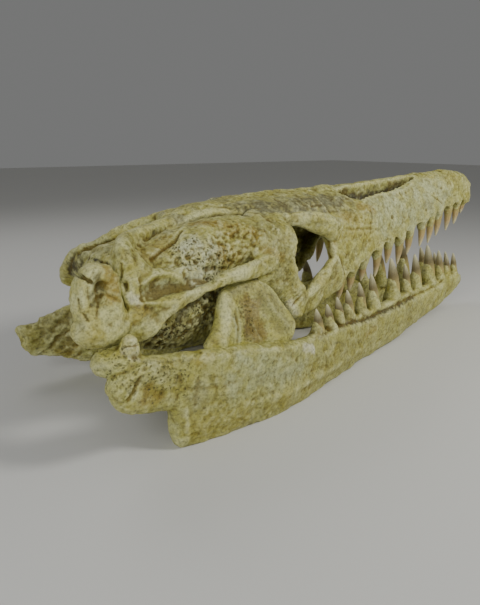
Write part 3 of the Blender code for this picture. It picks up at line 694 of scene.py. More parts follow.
cranium["backMarks"] = [
    # parietal crest and the wall under it
    (1.8, -2.6, [(-262, -78, 166), (-252, -77, 173), (-244, -76, 178), (-236, -75, 182), (-222, -66, 188)]),
    (4.0, 1.2, [(-222, -68, 190), (-209, -50, 193), (-192, -36, 196), (-176, -26, 199)]),
    (5.5, 1.8, [(-180, -27, 199), (-153, -29, 200), (-134, -42, 197), (-129, -62, 192), (-138, -82, 186),
                (-148, -97, 177)]),
    # recess over the ear and its lumpy rim
    (7.0, -3.2, [(-280, -110, 148), (-268, -108, 148), (-254, -110, 149), (-240, -112, 149)]),
    (3.4, 3.6, [(-284, -107, 154), (-277, -107, 157), (-270, -106, 161), (-260, -107, 162), (-252, -108, 157),
                (-244, -109, 151)]),
    (3.0, 1.8, [(-286, -113, 140), (-278, -116, 138), (-268, -118, 137), (-256, -119, 140), (-246, -119, 143)]),
    # squamosal crest, down to its lower edge
    (4.0, 2.0, [(-276, -119, 112), (-269, -119, 122), (-261, -120, 132), (-250, -120, 140), (-234, -120, 144),
                (-219, -118, 142)]),
    (8.0, -2.4, [(-284, -116, 132), (-276, -118, 126), (-270, -118, 130)]),
    (1.5, -2.4, [(-285, -106, 158), (-285, -109, 149), (-286, -111, 141), (-284, -115, 134)]),
    (2.6, -6.0, [(-298, -104, 155), (-299, -106, 151)]),
    (4.0, 2.2, [(-296, -107, 146)]), (3.0, 1.8, [(-292, -109, 139)]),
    (1.6, -2.0, [(-298, -98, 172), (-299, -100, 160)]),
    # far ramus and braincase behind
    (2.2, -3.0, [(-279, 54, 158), (-276, 47, 160), (-268, 40, 162)]),
    (2.0, -2.6, [(-267, 38, 162), (-261, 34, 165), (-254, 28, 168)]),
    (5.0, 1.6, [(-282, 40, 156), (-279, 14, 163), (-273, 0, 168)]),
    (2.2, -4.0, [(-285, 24, 152), (-287, 8, 156), (-287, -9, 157), (-284, -22, 157), (-281, -34, 158)]),
    (3.0, 1.6, [(-272, 36, 166), (-276, 14, 170), (-276, -10, 171)]),
    # pits in the rock of the temple
    (3.2, -4.0, [(-212, -93, 154)]), (2.6, -3.0, [(-223, -93, 163)]), (2.6, -3.0, [(-207, -90, 148)]),
    (2.8, -3.0, [(-234, -103, 161)]), (7.0, 4.0, [(-159, -83, 163)]), (2.4, -3.4, [(-149, -78, 157)]),
    (8.0, -4.0, [(-190, -84, 178), (-176, -80, 180), (-160, -80, 176)]),
    (9.0, -6.0, [(-211, -106, 132), (-208, -106, 126)]),
]
# (colour, strength, radius, line), first those that both sides have
cranium["pairedStains"] = [
    ("lilac", 0.95, 27, [(-128, 40, 202), (-92, 50, 198), (-61, 50, 198), (-25, 44, 201), (10, 40, 205)]),
    ("olive", 0.5, 24, [(-131, 94, 182), (-133, 103, 160), (-128, 106, 136)]),
    ("dove", 0.75, 44, [(80, 50, 182), (130, 42, 184), (190, 34, 184), (240, 28, 190)]),
    ("straw", 0.6, 22, [(-10, 70, 172), (24, 66, 178), (44, 60, 172)]),
    # Umber inside the nostrils is painted shade in the openings.
    ("umber", 0.95, 10, [(50, 9, 196), (80, 7, 198), (113, 7, 198), (140, 7, 200), (165, 6, 205)]),
]
# One-sided stains; the near-black entries are painted shadow in pits, holes and a deep groove.
cranium["stains"] = [
    ("ochre", 0.6, 9, [(44, -50, 192), (66, -50, 188)]),
    ("ochre", 0.45, 10, [(4, -60, 183), (14, -60, 184)]),
    ("ochre", 0.5, 10, [(40, 52, 190), (70, 50, 186)]),
    ("lilac", 0.5, 9, [(196, -37, 184), (206, -36, 182)]),
    ("lilac", 0.5, 9, [(249, -30, 195)]),
    ("ivory", 0.5, 16, [(320, -20, 205), (340, -14, 200), (345, 0, 208)]),
    ("ivory", 0.85, 8, [(-196, -28, 192), (-176, -26, 199), (-153, -30, 200), (-134, -44, 197),
                        (-130, -64, 191)]),
    ("ochre", 0.8, 13, [(-200, -60, 192), (-186, -70, 190), (-173, -76, 184), (-155, -78, 179),
                        (-151, -90, 178)]),
    ("ochre", 1.0, 6, [(-196, -71, 190)]),
    ("chalk", 0.9, 22, [(-222, -88, 172), (-210, -90, 166), (-212, -92, 154), (-230, -104, 154)]),
    ("rust", 0.75, 8, [(-194, -89, 172), (-190, -90, 164), (-191, -91, 157)]),
    ("rust", 0.6, 7, [(-187, -89, 162), (-178, -88, 158)]),
    ("ochre", 0.6, 14, [(-190, -90, 166), (-178, -88, 160)]),
    ("ivory", 0.85, 8, [(-162, -84, 163), (-156, -82, 165)]),
    # painted shadow in the pit
    ("soot", 0.9, 2.6, [(-149, -78, 157)]),
    ("rust", 0.85, 5, [(-262, -78, 166), (-252, -77, 173), (-244, -76, 177), (-236, -74, 182)]),
    ("ochre", 0.4, 12, [(-270, -74, 168), (-256, -74, 178), (-240, -66, 186)]),
    ("lilac", 0.8, 8, [(-213, -21, 196), (-198, -25, 196)]),
    ("ochre", 0.6, 5, [(-254, -42, 190), (-244, -40, 189)]),
    ("dove", 0.7, 11, [(-280, -110, 147), (-268, -107, 147), (-254, -110, 147), (-244, -112, 148)]),
    ("ochre", 0.45, 8, [(-286, -112, 132), (-296, -111, 125)]),
    ("ivory", 0.6, 9, [(-280, -119, 114), (-269, -119, 124), (-258, -120, 134), (-242, -120, 143),
                       (-224, -119, 146)]),
    ("plaster", 0.8, 6, [(-296, -107, 146), (-290, -109, 141)]),
    # painted shadow in the hole
    ("soot", 0.9, 3, [(-298, -104, 155), (-299, -106, 151)]),
    ("umber", 0.8, 30, [(-266, -82, 98), (-246, -84, 104), (-225, -84, 110), (-196, -82, 116)]),
    ("umber", 0.95, 27, [(-262, 52, 102), (-235, 52, 108), (-205, 52, 116)]),
    # painted shadow in the deep pit
    ("soot", 0.95, 11, [(-211, -104, 134), (-207, -102, 126)]),
    ("umber", 0.9, 12, [(-285, 66, 142), (-284, 51, 149), (-287, 76, 129)]),
    # painted shadow along the deep groove
    ("soot", 0.95, 4, [(-287, 8, 156), (-287, -9, 157), (-284, -22, 157), (-281, -34, 158)]),
    ("olive", 0.6, 16, [(-284, 40, 152), (-281, 14, 160), (-275, 0, 166)]),
    ("ochre", 0.55, 8, [(-148, -103, 167), (-133, -107, 160)]),
    ("ivory", 0.8, 9, [(-192, -116, 152), (-182, -114, 153)]),
    ("ochre", 0.8, 8, [(-29, -74, 158), (-31, -76, 143)]),
    ("plaster", 0.9, 8, [(-110, -105, 95), (-114, -105, 105)]),
    ("lilac", 0.5, 9, [(-92, -103, 108)]),
    ("rust", 0.8, 7, [(44, -12, 207), (56, -11, 208)]), ("rust", 0.8, 7, [(150, -8, 212), (172, -6, 216)]),
]
# (strength, radius, line) of open pores, (radius, steps of easing, line), (radius, height, line) of rough rock
cranium["spongy"] = [
    (1.0, 26, [(-228, -88, 170), (-212, -92, 156), (-200, -90, 164)]),
    (0.8, 20, [(-228, 84, 170), (-200, 90, 160)]),
    (1.0, 34, [(-276, -76, 100), (-245, -84, 108), (-196, -82, 116)]),
    (0.35, 22, [(-131, -94, 182), (-133, -105, 160), (-128, -106, 136), (-110, -103, 112)]),
    (0.35, 22, [(-131, 94, 182), (-133, 105, 160), (-128, 106, 136), (-110, 103, 112)]),
    (0.5, 14, [(-20, -82, 130), (-40, -90, 118), (10, -76, 140)]),
]
cranium["eased"] = [
    (30, 60, [(-270, -84, 158), (-248, -84, 170), (-228, -80, 176)]),
    (22, 40, [(-262, -76, 166), (-244, -66, 180)]),
    (16, 16, [(352, 0, 190)]),
    (20, 14, [(-150, -88, 182), (-138, -84, 186), (-128, -60, 190)]),
]
cranium["rock"] = [
    (28, 3.2, [(-232, -92, 162), (-210, -92, 158), (-188, -86, 166), (-168, -78, 172)]),
    (28, 3.2, [(-232, 84, 160), (-210, 88, 158), (-188, 84, 166), (-168, 76, 172)]),
    (30, 4.5, [(-276, -76, 100), (-245, -80, 108), (-210, -78, 116)]),
    (26, 4.5, [(-262, 56, 104), (-235, 56, 110), (-205, 56, 116)]),
]


# Swollen sockets round the tooth roots
def socketMarks(jawWord, side):
    lift, swell = (5, 2.0) if jawWord == "upper" else (-3, 2.6)
    marks = []
    for row in teeth[jawWord]:
        x, y, z = toothFoot(jawWord, side, row)
        marks.append((toothRadius(row) + 3.5, swell, [(x, y * 1.04, z + lift)]))
    return marks


# The upper margin, arched up between the teeth
def scallop(mesh):
    points, _ = readShape(mesh)
    rows = np.array(teeth["upper"], float)
    order = np.argsort(rows[:, 0])
    margin = np.interp(points[:, 0], rows[order, 0], rows[order, 2])
    near = np.zeros(len(points))
    for row in rows:
        near = np.maximum(near, np.exp(-((points[:, 0] - row[0]) / 8.5) ** 2))
    inRange = (points[:, 0] > rows[:, 0].min() - 6) & (points[:, 0] < rows[:, 0].max() + 4)
    share = np.clip(1 - (points[:, 2] - margin) / 15, 0, 1)
    points[:, 2] += np.where(inRange, teeth["archRise"] * share * (1 - near), 0)
    writeShape(mesh, points)


def buildCranium():
    snout = gutter(cranium["snout"], cranium["snoutWall"])
    bpy.context.scene.collection.objects.link(snout)
    for side in (-1, 1):
        snout = cutAway(snout, shaft(onSide(cranium["nostril"], side), (0, 0, 1)))
    roof = [(x, top, half, edge, top - cranium["roofWall"]) for x, top, half, edge in cranium["roof"]]
    parts = [snout, gutter(roof, cranium["roofWall"]), shaft(cranium["parietal"], (0, 1, 0)),
             shaft(cranium["braincase"], (0, 1, 0)), knob(*cranium["condyle"])]
    parts += [shaft(cranium[name], broad) for name, broad in cranium["single"].items()]
    for name in ("templeRockRight", "templeRockLeft"):
        parts.append(shaft(cranium[name], (0, 0, 1), corner=2.0))
    for side in (-1, 1):
        parts += [shaft(onSide(cranium[name], side), broad) for name, broad in cranium["paired"].items()]
        parts += [pedestal("upper", side, row) for row in teeth["upper"]]
    bone = grownTogether("skull", parts, cranium["voxel"], cranium["soften"])
    mesh = bone.data
    soothe(mesh, cranium["eased"])
    marks = list(cranium["backMarks"])
    for side in (-1, 1):
        marks += [(width, height, onSide(line, side)) for width, height, line in cranium["frontMarks"]]
        marks += socketMarks("upper", side)
    carve(mesh, marks)
    scallop(mesh)
    weather(mesh, cranium["waves"], cranium["seed"])
    flake(mesh, cranium["flakes"], cranium["seed"] + 3)
    crumble(mesh, cranium["rock"], cranium["seed"] + 10)
    stains = [(colour, strength, radius, onSide(line, side))
              for colour, strength, radius, line in cranium["pairedStains"] for side in (-1, 1)]
    stains += cranium["stains"]
    for side in (-1, 1):
        stains += [("straw", 0.5, 9, [toothFoot("upper", side, row)]) for row in teeth["upper"]]
    paint(mesh, stains, cranium["spongy"], cranium["seed"] + 20, reach=70, paintedShadeStrength=0.85)
    placed(bone, "cranium", skullBone)
    return bone


skull = buildCranium()
print("skull sculpted and painted,", len(skull.data.polygons), "faces")


quadrate = {
    "voxel": 1.15,
    "soften": 3,
    "shaftRight": [(-310, -99, 163, 8, 11), (-310, -100, 148, 9, 11), (-314, -101, 130, 17, 14),
                   (-318, -103, 112, 17, 13)],
    "loopRight": [(-312, -100, 166, 8, 11), (-322, -100, 168, 8, 11), (-331, -100, 160, 9, 11),
                  (-333, -100, 144, 10, 11), (-330, -101, 126, 10, 12)],
    "bowlRight": ((-321, -104, 121), (25, 15, 17)),
    "webRight": ((-322, -98, 150), (13, 7, 21)),
    "shaftLeft": [(-266, 90, 128, 13, 12), (-262, 88, 112, 12, 12), (-260, 86, 97, 14, 12)],
    "loopLeft": [(-266, 90, 132, 7, 11), (-256, 89, 130, 7, 10), (-249, 88, 119, 6, 9), (-251, 87, 108, 6, 9)],
    "rings": ((-318, -106, 132), 7, 0.4, 27),       # centre, spacing, height, reach
    "waves": [(22, 0.8), (8, 0.4), (3, 0.2)],
    "spongy": [(0.4, 16, [(-322, -104, 150)])],
    "stainsLeft": [("olive", 0.6, 30, [(-262, 88, 112)])],
}
quadrate["marksRight"] = [
    (4.6, -2.2, [(-322, -109, 168), (-325, -104, 160), (-327, -103, 152), (-328, -103, 144)]),
    (2.6, 1.8, [(-314, -112, 176), (-324, -112, 176), (-333, -111, 168), (-338, -111, 154), (-338, -111, 142)]),
    (1.4, -1.2, [(-326, -110, 171), (-331, -110, 163), (-332, -110, 153), (-331, -110, 144)]),
    (2.0, -2.2, [(-340, -109, 150), (-339, -111, 140), (-335, -112, 134)]),
    (4.0, 2.4, [(-302, -108, 124), (-300, -106, 128)]),
    (5.0, -2.0, [(-328, -116, 128), (-318, -118, 126)]),
]
quadrate["stainsRight"] = [
    ("ivory", 0.5, 30, [(-324, -112, 150), (-322, -114, 126)]),
    ("ivory", 0.5, 14, [(-322, -111, 172), (-334, -110, 162), (-338, -110, 146)]),
    ("ochre", 0.85, 9, [(-312, -110, 172), (-310, -110, 158), (-312, -110, 148)]),
    ("umber", 0.55, 5, [(-323, -110, 168), (-326, -108, 160), (-328, -108, 152), (-328, -108, 144)]),
    ("rust", 0.5, 8, [(-320, -104, 158), (-324, -104, 146)]),
    ("ivory", 0.8, 6, [(-316, -112, 177), (-330, -112, 170), (-338, -111, 154), (-338, -111, 142)]),
    ("straw", 0.5, 12, [(-334, -114, 118)]),
    ("olive", 0.6, 9, [(-316, -112, 106), (-300, -108, 112)]),
]


# Ridges that ring the bowl of the quadrate like growth lines
def ringBowl(mesh, centre, spacing, height, reach):
    points, normals = readShape(mesh)
    away = np.linalg.norm(points - np.array(centre), axis=1)
    fade = np.clip((reach - away) / 6, 0, 1) * np.clip(-normals[:, 1], 0, 1)
    writeShape(mesh, points + normals * (height * fade * np.cos(2 * np.pi * away / spacing))[:, None])


def buildQuadrates():
    rightParts = [shaft(quadrate["shaftRight"], (1, 0, 0)), shaft(quadrate["loopRight"], (1, 0, 1)),
                  knob(*quadrate["bowlRight"]), knob(*quadrate["webRight"])]
    leftParts = [shaft(quadrate["shaftLeft"], (1, 0, 0)), shaft(quadrate["loopLeft"], (1, 0, 1))]
    for word, parts, seed in (("right", rightParts, 41), ("left", leftParts, 43)):
        bone = grownTogether("quadrate_" + word + "_bone", parts, quadrate["voxel"], quadrate["soften"])
        if word == "right":
            carve(bone.data, quadrate["marksRight"])
            ringBowl(bone.data, *quadrate["rings"])
        weather(bone.data, quadrate["waves"], seed)
        stains = quadrate["stainsRight" if word == "right" else "stainsLeft"]
        paint(bone.data, stains, quadrate["spongy"], seed, reach=40, paintedShadeStrength=0.5)
        placed(bone, "quadrate_" + word, quadrateBone)


buildQuadrates()
print("quadrates done")


jaw = {
    "voxel": 1.5,
    "soften": 2,
    # (x, y, z of the middle, half height, half thickness)
    "right": [(-266, -127, 46, 44, 11), (-256, -128, 46, 46, 12), (-235, -131, 45, 45, 12),
              (-200, -131, 43, 43, 12), (-160, -129, 40, 40, 12), (-115, -120, 35, 35, 12),
              (-70, -108, 34, 34, 12), (-25, -96, 33, 32, 12), (15, -84, 33, 31, 12),
              (55, -75, 33, 31, 12), (100, -65, 34, 30, 12), (150, -52, 36, 28, 12), (200, -39, 36, 24, 11),
              (245, -28, 37, 22, 10), (285, -18, 38, 20, 9), (320, -10, 41, 16, 8),
              (345, -6, 44, 11, 6), (353, -5, 46, 7, 4)],
    "left": [(-262, 64, 47, 46, 10), (-250, 69, 46, 46, 12), (-225, 77, 45, 45, 12), (-190, 84, 43, 43, 12),
             (-150, 86, 40, 40, 12), (-110, 83, 35, 35, 12), (-65, 76, 34, 34, 12), (-20, 66, 33, 32, 12),
             (20, 58, 33, 31, 12), (60, 49, 33, 31, 12), (105, 41, 34, 30, 12), (150, 34, 36, 28, 12),
             (200, 26, 36, 24, 11), (245, 20, 37, 22, 10), (285, 14, 38, 20, 9), (320, 9, 41, 16, 8),
             (345, 6, 44, 11, 6), (353, 5, 46, 7, 4)],
    "leanRight": (0, 0.02, 1),
    "leanLeft": (0, 0.26, 1),
    "toeRight": [(-267, -128, 18, 18, 10), (-252, -129, 20, 20, 11)],
    "heelRight": [(-321, -126, 80, 12, 9), (-312, -127, 75, 22, 14), (-296, -127, 71, 26, 15),
                  (-265, -125, 66, 26, 12)],
    "heelLeft": [(-349, 97, 66, 5, 4), (-341, 95, 61, 13, 6), (-330, 93, 54, 23, 7), (-314, 90, 54, 26, 8),
                 (-298, 88, 54, 32, 9), (-275, 82, 54, 38, 11), (-250, 78, 56, 34, 11)],
    "cupRight": ((-314, -116, 94), (22, 17, 13)),
    "cupLeft": ((-264, 86, 84), (18, 13, 9)),
    "knobRight": ((-306, -124, 106), (9, 7, 12)),
    "ridges": (-352, -262, 16, 0.7),                # on the far heel: back, front, spacing, height
    "waves": [(50, 1.2), (18, 0.6), (6, 0.35)],
    "flakes": [(42, 0.45), (17, 0.22)],
    "spongy": [(0.7, 26, [(-318, -124, 94), (-300, -140, 84), (-270, -138, 74)]),
               (0.35, 20, [(-225, -143, 40)])],
    "sharedMarks": 6,                               # so many of the first marks are on both halves
}
jaw["marksRight"] = [
    (4.2, -4.2, [(-60, -107, 66), (-21, -98, 64), (-1, -95, 62), (20, -92, 60), (45, -86, 59), (72, -80, 59),
                 (98, -75, 58), (129, -67, 59), (160, -58, 58), (183, -52, 57), (223, -41, 56),
                 (271, -27, 56)]),
    (2.6, -0.7, [(-262, -141, 62), (-230, -143, 58), (-200, -143, 56), (-165, -141, 55), (-130, -134, 56)]),
    (2.4, -0.7, [(-246, -142, 84), (-250, -141, 66), (-254, -141, 46)]),
    (5.0, 1.8, [(-250, -142, 86), (-215, -142, 85), (-180, -141, 80), (-150, -138, 74), (-125, -131, 68)]),
    (5.0, 1.6, [(-200, -143, 30), (-150, -140, 26), (-100, -128, 24), (-50, -114, 24), (10, -96, 24)]),
    (9.0, -2.4, [(-180, -142, 48), (-140, -137, 42), (-100, -128, 40)]),
    (7.0, -3.0, [(-308, -142, 80), (-296, -143, 72), (-286, -142, 66)]),
    (2.2, -2.6, [(-322, -137, 86), (-304, -141, 92), (-286, -138, 94), (-266, -136, 90)]),
    (2.0, -2.4, [(-304, -142, 86), (-310, -142, 76), (-316, -140, 68)]),
    (3.0, 2.4, [(-300, -141, 99), (-290, -140, 96), (-276, -138, 92)]),
    (3.0, 1.6, [(-263, -139, 42), (-262, -139, 26), (-262, -138, 10)]),
    (1.6, -2.6, [(-315, -129, 110), (-306, -131, 110), (-297, -129, 109)]),
    (4.0, -3.4, [(-76, -113, 68), (-70, -112, 66)]),
    (4.5, 2.4, [(-52, -108, 66)]),
    (2.4, -2.0, [(-306, -127, 108), (-305, -129, 100)]),
]
jaw["stainsRight"] = [
    ("olive", 0.28, 70, [(-230, -143, 40), (-120, -130, 36), (0, -100, 34), (120, -70, 34)]),
    ("umber", 0.85, 5.5, [(-60, -107, 64), (-21, -98, 62), (20, -92, 58), (72, -80, 57), (98, -75, 56),
                          (129, -67, 57), (160, -58, 56)]),
    ("rust", 0.5, 9, [(-92, -118, 70), (-60, -108, 70), (-21, -98, 68), (20, -92, 66)]),
    ("plaster", 0.95, 7, [(-114, -129, 63), (-100, -127, 58)]),
    ("ivory", 0.8, 6, [(-54, -109, 66)]),
    ("umber", 0.9, 6, [(-78, -113, 72), (-70, -112, 68)]),
    ("ochre", 0.55, 9, [(-297, -142, 75), (-302, -142, 63), (-290, -142, 62)]),
    ("rust", 0.5, 5, [(-298, -142, 74), (-303, -142, 66)]),
    ("olive", 0.45, 14, [(-300, -140, 88), (-276, -139, 84)]),
    ("straw", 0.5, 22, [(-250, -142, 24), (-225, -143, 20), (-200, -143, 18)]),
    ("dove", 0.6, 30, [(-200, -143, 60), (-170, -142, 50), (-130, -134, 44)]),
    ("ochre", 0.35, 9, [(-250, -142, 86), (-235, -142, 88)]),
    ("straw", 0.45, 16, [(-160, -140, 24), (-120, -132, 22)]),
    ("lilac", 0.4, 12, [(-250, -142, 60), (-250, -142, 46)]),
    ("ochre", 0.4, 8, [(20, -93, 40), (40, -88, 42)]),
    ("plaster", 0.85, 8, [(-308, -129, 108), (-306, -127, 114), (-304, -128, 102)]),
]
jaw["stainsLeft"] = [
    ("ochre", 0.6, 18, [(-300, 80, 36), (-288, 80, 50)]),
    ("rust", 0.45, 14, [(-318, 84, 66), (-300, 82, 76)]),
    ("olive", 0.6, 34, [(-330, 88, 60), (-300, 82, 60), (-270, 74, 60)]),
    ("ivory", 0.6, 5, [(-345, 92, 66), (-342, 90, 40)]),
]


# Slanting ridges on the inner face of the far heel
def slantRidges(mesh, xBack, xFront, spacing, height):
    points, normals = readShape(mesh)
    fade = np.clip((points[:, 0] - xBack) / 8, 0, 1) * np.clip((xFront - points[:, 0]) / 14, 0, 1)
    phase = (points[:, 0] * 0.62 - points[:, 2] * 0.78) / spacing + 0.5 * cloud(points, 22, 71)
    writeShape(mesh, points + normals * (height * fade * np.sin(2 * np.pi * phase))[:, None])


# The lower edge, flat where it lies on the ground
def wornFlat(mesh):
    points, _ = readShape(mesh)
    points[:, 2] = np.maximum(points[:, 2], -centreShift[2])
    writeShape(mesh, points)


def buildJaws():
    rightParts = [shaft(jaw["right"], jaw["leanRight"], corner=3.0, steps=4),
                  shaft(jaw["heelRight"], (0, 0, 1)), shaft(jaw["toeRight"], (0, 0, 1), corner=3.0),
                  knob(*jaw["cupRight"]), knob(*jaw["knobRight"])]
    leftParts = [shaft(jaw["left"], jaw["leanLeft"], corner=3.0, steps=4),
                 shaft(jaw["heelLeft"], (0, 0, 1)), knob(*jaw["cupLeft"])]
    for word, side, parts, seed in (("right", -1, rightParts, 51), ("left", 1, leftParts, 61)):
        parts += [pedestal("lower", side, row) for row in teeth["lower"]]
        bone = grownTogether("jaw_" + word, parts, jaw["voxel"], jaw["soften"])
        mesh = bone.data
        marks = socketMarks("lower", side)
        if word == "right":
            marks += jaw["marksRight"]
            stains = list(jaw["stainsRight"])
        else:
            yaw = 2 * teeth["jawYaw"]
            marks += [(width, height, [(x, -y - yaw * (teeth["tipX"] - x), z) for x, y, z in line])
                      for width, height, line in jaw["marksRight"][:jaw["sharedMarks"]]]
            stains = list(jaw["stainsLeft"])
            slantRidges(mesh, *jaw["ridges"])
        carve(mesh, marks)
        weather(mesh, jaw["waves"], seed)
        flake(mesh, jaw["flakes"], seed + 5)
        wornFlat(mesh)
        for row in teeth["lower"]:
            x, y, z = toothFoot("lower", side, row)
            stains += [("tan", 0.6, 9, [(x, y, z), (x, y, z + 0.2 * row[3])]),
                       ("ivory", 0.35, 6, [(x, y, z + 0.4 * row[3])]),
                       ("rust", 0.7, toothRadius(row) + 2.2, [(x, y, z)])]
        paint(mesh, stains, jaw["spongy"], seed, reach=50, paintedShadeStrength=0.6)
        placed(bone, "mandible_" + word, jawBone)
        print("jaw", word, "done,", len(mesh.polygons), "faces")


buildJaws()


coronoid = {
    "voxel": 1.1,
    "soften": 2,
    "right": [(-229, -123, 88, 6, 5), (-219, -121, 90, 11, 6), (-208, -118, 94, 17, 7),
              (-196, -115, 100, 26, 8), (-186, -113, 105, 33, 8), (-176, -112, 109, 34, 7),
              (-164, -113, 107, 33, 6), (-150, -117, 98, 25, 6), (-130, -123, 84, 13, 6)],
    "left": [(-219, 86, 88, 6, 5), (-209, 85, 90, 11, 6), (-198, 84, 94, 16, 7), (-186, 82, 99, 25, 8),
             (-176, 81, 104, 31, 8), (-166, 80, 108, 33, 7), (-154, 81, 106, 31, 6), (-140, 84, 97, 24, 6),
             (-120, 87, 84, 13, 6)],
    "leanRight": (0, 0.42, 1),
    "leanLeft": (0, -0.30, 1),
    "shiftLeft": (10, -33),       # the left bone mirrors the right one, further forward and nearer the middle
    "waves": [(25, 0.7), (9, 0.3), (3.5, 0.15)],
    "marks": [
        (7.0, 3.0, [(-203, -108, 136), (-205, -116, 118), (-210, -123, 102), (-216, -127, 92)]),
        (9.0, -3.6, [(-180, -114, 122), (-184, -120, 108), (-182, -125, 94)]),
        (5.0, 1.8, [(-158, -110, 130), (-150, -117, 110), (-138, -123, 92)]),
        (2.0, -1.4, [(-194, -118, 116), (-194, -123, 102), (-198, -127, 90)]),
    ],
    "stains": [
        ("ivory", 0.6, 9, [(-204, -110, 132), (-207, -119, 112), (-213, -126, 94)]),
        ("tan", 0.9, 16, [(-174, -114, 118), (-176, -121, 106), (-174, -126, 92)]),
        ("rust", 0.5, 9, [(-182, -121, 106), (-184, -125, 92)]),
        ("olive", 0.6, 9, [(-190, -108, 134), (-175, -107, 136)]),
        ("olive", 0.65, 15, [(-158, -112, 126), (-150, -119, 106), (-142, -124, 92)]),
        ("dove", 0.6, 4, [(-196, -120, 110), (-196, -127, 90)]),
    ],
}


def buildCoronoids():
    for word, side, seed in (("right", -1, 81), ("left", 1, 83)):
        lean = coronoid["leanRight" if word == "right" else "leanLeft"]
        bone = grownTogether("coronoid_" + word + "_bone", [shaft(coronoid[word], lean)], coronoid["voxel"],
                             coronoid["soften"])
        forward, outward = (0, 0) if word == "right" else coronoid["shiftLeft"]
        marks, stains = [[(*start, [(x + forward, -side * y + outward, z) for x, y, z in line])
                          for *start, line in coronoid[kind]] for kind in ("marks", "stains")]
        carve(bone.data, marks)
        weather(bone.data, coronoid["waves"], seed)
        spongy = [(0.7, 13, [(-180, side * 116, 118), (-184, side * 124, 96)])]
        paint(bone.data, stains, spongy, seed, reach=40, paintedShadeStrength=0.4)
        placed(bone, "coronoid_" + word, jawBone)


buildCoronoids()
print("coronoids done")


# Enamel over a bony base: the crown is smooth, striped with fine ridges and semi-gloss, the base dull
def toothEnamel(name, look):
    material, tree, shader, place, tone, height, around = begin(name, "height", "around")
    stripePlace = addNode(tree, "CombineXYZ", {}, {"X": around, "Y": height, "Z": 0.0})
    stripeScale = addNode(tree, "Mapping", {}, {"Vector": stripePlace.outputs[0], "Scale": (26.0, 1.6, 1.0)})
    stripe = addNode(tree, "TexNoise", {}, {"Vector": stripeScale.outputs[0], "Scale": 1.0, "Detail": 3.0})
    stripeShare = addNode(tree, "ValToRGB", {"stops": [(0.35, 0.78), (0.62, 1.1)]},
                          {"Fac": stripe.outputs["Fac"]})
    striped = addNode(tree, "Mix", darkening, {0: 0.8, 6: tone, 7: stripeShare.outputs["Color"]})
    speck = addNode(tree, "TexNoise", {}, {"Vector": place, "Scale": across(3), "Detail": 4.0,
                                           "Roughness": 0.7})
    speckShare = addNode(tree, "ValToRGB", {"stops": [(0.36, 0.72), (0.52, 1.0)]},
                         {"Fac": speck.outputs["Fac"]})
    speckled = addNode(tree, "Mix", darkening,
                       {0: 0.7, 6: striped.outputs[2], 7: speckShare.outputs["Color"]})
    relief = addNode(tree, "Math", {"operation": "MULTIPLY_ADD"},
                     {0: stripe.outputs["Fac"], 1: 0.5, 2: speck.outputs["Fac"]})
    bump = addNode(tree, "Bump", {}, {"Height": relief.outputs[0], "Strength": 0.5, "Distance": mm})
    gloss = addNode(tree, "MapRange", {}, {
        "Value": height, "From Min": 0.35, "From Max": 0.5,
        "To Min": look["rootRoughness"], "To Max": look["crownRoughness"]})
    finish(shader, speckled.outputs[2], gloss, bump, 1.6)
    return material


enamel = toothEnamel("fossil tooth enamel", {"rootRoughness": 0.62, "crownRoughness": 0.33})


def buildTooth(jawWord, side, number, row, chance):
    root, tip = toothEnds(jawWord, side, row)
    axis = (tip - root).normalized()
    wide = axis.cross(Vector((0, 1, 0))).normalized()
    thin = axis.cross(wide)
    length = (tip - root).length
    radius = toothRadius(row)
    bow = wide * math.copysign(teeth["bow"] * length, wide.x)
    socket = teeth["rootDepth"] / length
    # (share of the length, share of the radius) from the hidden root to the tip
    profile = smoothRows([(0, 0.85), (socket, 1.2), (socket + 0.1, 1.16), (0.4, 1.04), (0.43, 1.0),
                          (0.62, 0.82), (0.8, 0.56), (0.92, 0.32), (0.975, 0.16), (1.0, 0.02)], 4)
    sides = teeth["sides"]
    points, heights, arounds = [], [], []
    for share, swell in profile:
        share = min(share, 1)
        middle = root.lerp(tip, share) + bow * math.sin(math.pi * share)
        for j in range(sides):
            angle = 2 * math.pi * j / sides
            crown = max(0, min(1, (share - 0.42) / 0.08))
            keel = teeth["keel"] * crown * math.cos(angle) ** 8
            ridges = teeth["ridge"] * crown * math.cos(teeth["ridgeCount"] * angle)
            spot = Vector((math.cos(angle) * 1.5, math.sin(angle) * 1.5, share * 4 + chance.random()))
            base = teeth["lump"] * (1 - crown) * noise.noise(spot)
            reach = radius * max(swell, 0.01) * (1 + keel + ridges + base)
            points.append(middle + (wide * math.cos(angle) * 1.04 + thin * math.sin(angle) * 0.96) * reach)
            heights.append(share)
            arounds.append(abs(2 * j / sides - 1))
    rings = [np.array([tuple(p) for p in points[k:k + sides]]) for k in range(0, len(points), sides)]
    ending = f"{'right' if side < 0 else 'left'}_{number:02d}"
    obj = meshOf(f"{jawWord}_crown_{ending}", rings)
    heights = np.array(heights)
    rootColour = np.array(linear("rootTan")) * 0.6 + np.array(linear("rootCream")) * 0.4
    shade = 0.85 + 0.3 * chance.random()
    atCrown = np.clip((heights - 0.44) / 0.2, 0, 1)[:, None]
    atTip = np.clip((heights - 0.66) / 0.3, 0, 1)[:, None]
    atSocket = np.clip((socket + 0.16 - heights) / 0.16, 0, 1)[:, None]
    tone = laidOver(rootColour, "rootCream", atSocket)
    tone = laidOver(tone, jawWord + "Crown", atCrown, shade)
    tone = laidOver(tone, jawWord + "Tip", atTip)
    saveTone(obj.data, np.clip(tone, 0, 1))
    saveValue(obj.data, "height", heights)
    saveValue(obj.data, "around", np.array(arounds))
    placed(obj, f"{jawWord}_tooth_{ending}", enamel)


chance = random.Random(7)
for jawWord in ("upper", "lower"):
    for side in (-1, 1):
        for number, row in enumerate(teeth[jawWord], start=1):
            buildTooth(jawWord, side, number, row, chance)
print("teeth done")


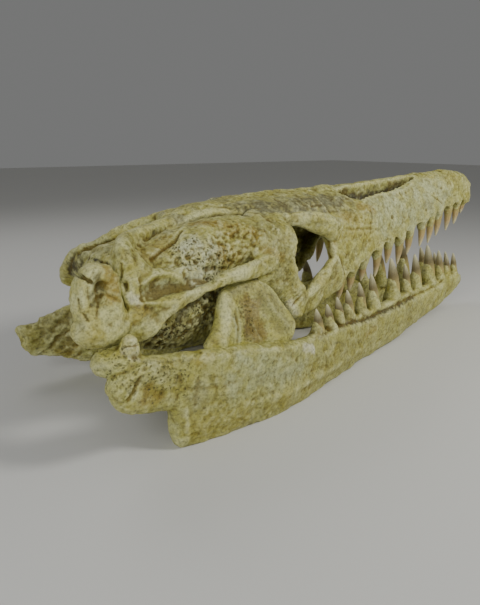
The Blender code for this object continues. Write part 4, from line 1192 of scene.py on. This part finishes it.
# Stage, light and camera
studio = {
    "camera": (-0.4643, -0.4926, 0.2663),
    "target": (-0.1106, 0.0125, 0.0778),
    "lens": 30.94,
    "air": (0.9, 0.91, 0.9, 1),
    "airStrength": 0.2,
}
floorMesh = bpy.data.meshes.new("floor")
floorMesh.from_pydata([(-6, -6, 0), (6, -6, 0), (6, 6, 0), (-6, 6, 0)], [], [(0, 1, 2, 3)])
floor = bpy.data.objects.new("floor", floorMesh)
bpy.context.scene.collection.objects.link(floor)
# Matt backdrop paper: no shine, so the ground stays plain
paper = bpy.data.materials.new("matt backdrop paper")
paper.use_nodes = True
paperShader = paper.node_tree.nodes["Principled BSDF"]
paperShader.inputs["Base Color"].default_value = (*linear("floor"), 1)
paperShader.inputs["Roughness"].default_value = 0.85
floorMesh.materials.append(paper)

# (name, place, aim, size, power, colour)
lights = [
    ("key", (0.55, -0.8, 0.85), (-0.05, 0, 0.1), 0.3, 8.5, (1.0, 1.0, 0.95)),
    ("fill", (-1.2, -0.75, 0.7), (-0.15, 0, 0.1), 0.8, 7, (0.96, 0.98, 1.0)),
    ("rim", (-0.3, 1.0, 1.1), (-0.05, 0, 0.1), 0.8, 3, (1.0, 1.0, 1.0)),
]
for name, place, aim, size, power, colour in lights:
    lamp = bpy.data.lights.new(name, "AREA")
    lamp.shape = "DISK"
    lamp.size = size
    lamp.energy = power
    lamp.color = colour
    holder = bpy.data.objects.new(name, lamp)
    holder.location = place
    holder.rotation_euler = (Vector(aim) - Vector(place)).to_track_quat("-Z", "Y").to_euler()
    bpy.context.scene.collection.objects.link(holder)

world = bpy.data.worlds.new("studio")
world.use_nodes = True
air = world.node_tree.nodes["Background"]
air.inputs["Color"].default_value = studio["air"]
air.inputs["Strength"].default_value = studio["airStrength"]
bpy.context.scene.world = world

cameraData = bpy.data.cameras.new("camera")
cameraData.lens = studio["lens"]
cameraData.sensor_width = 36
camera = bpy.data.objects.new("camera", cameraData)
camera.location = studio["camera"]
sight = Vector(studio["target"]) - Vector(studio["camera"])
camera.rotation_euler = sight.to_track_quat("-Z", "Y").to_euler()
bpy.context.scene.collection.objects.link(camera)
bpy.context.scene.camera = camera

print("stage, lights and camera ready")
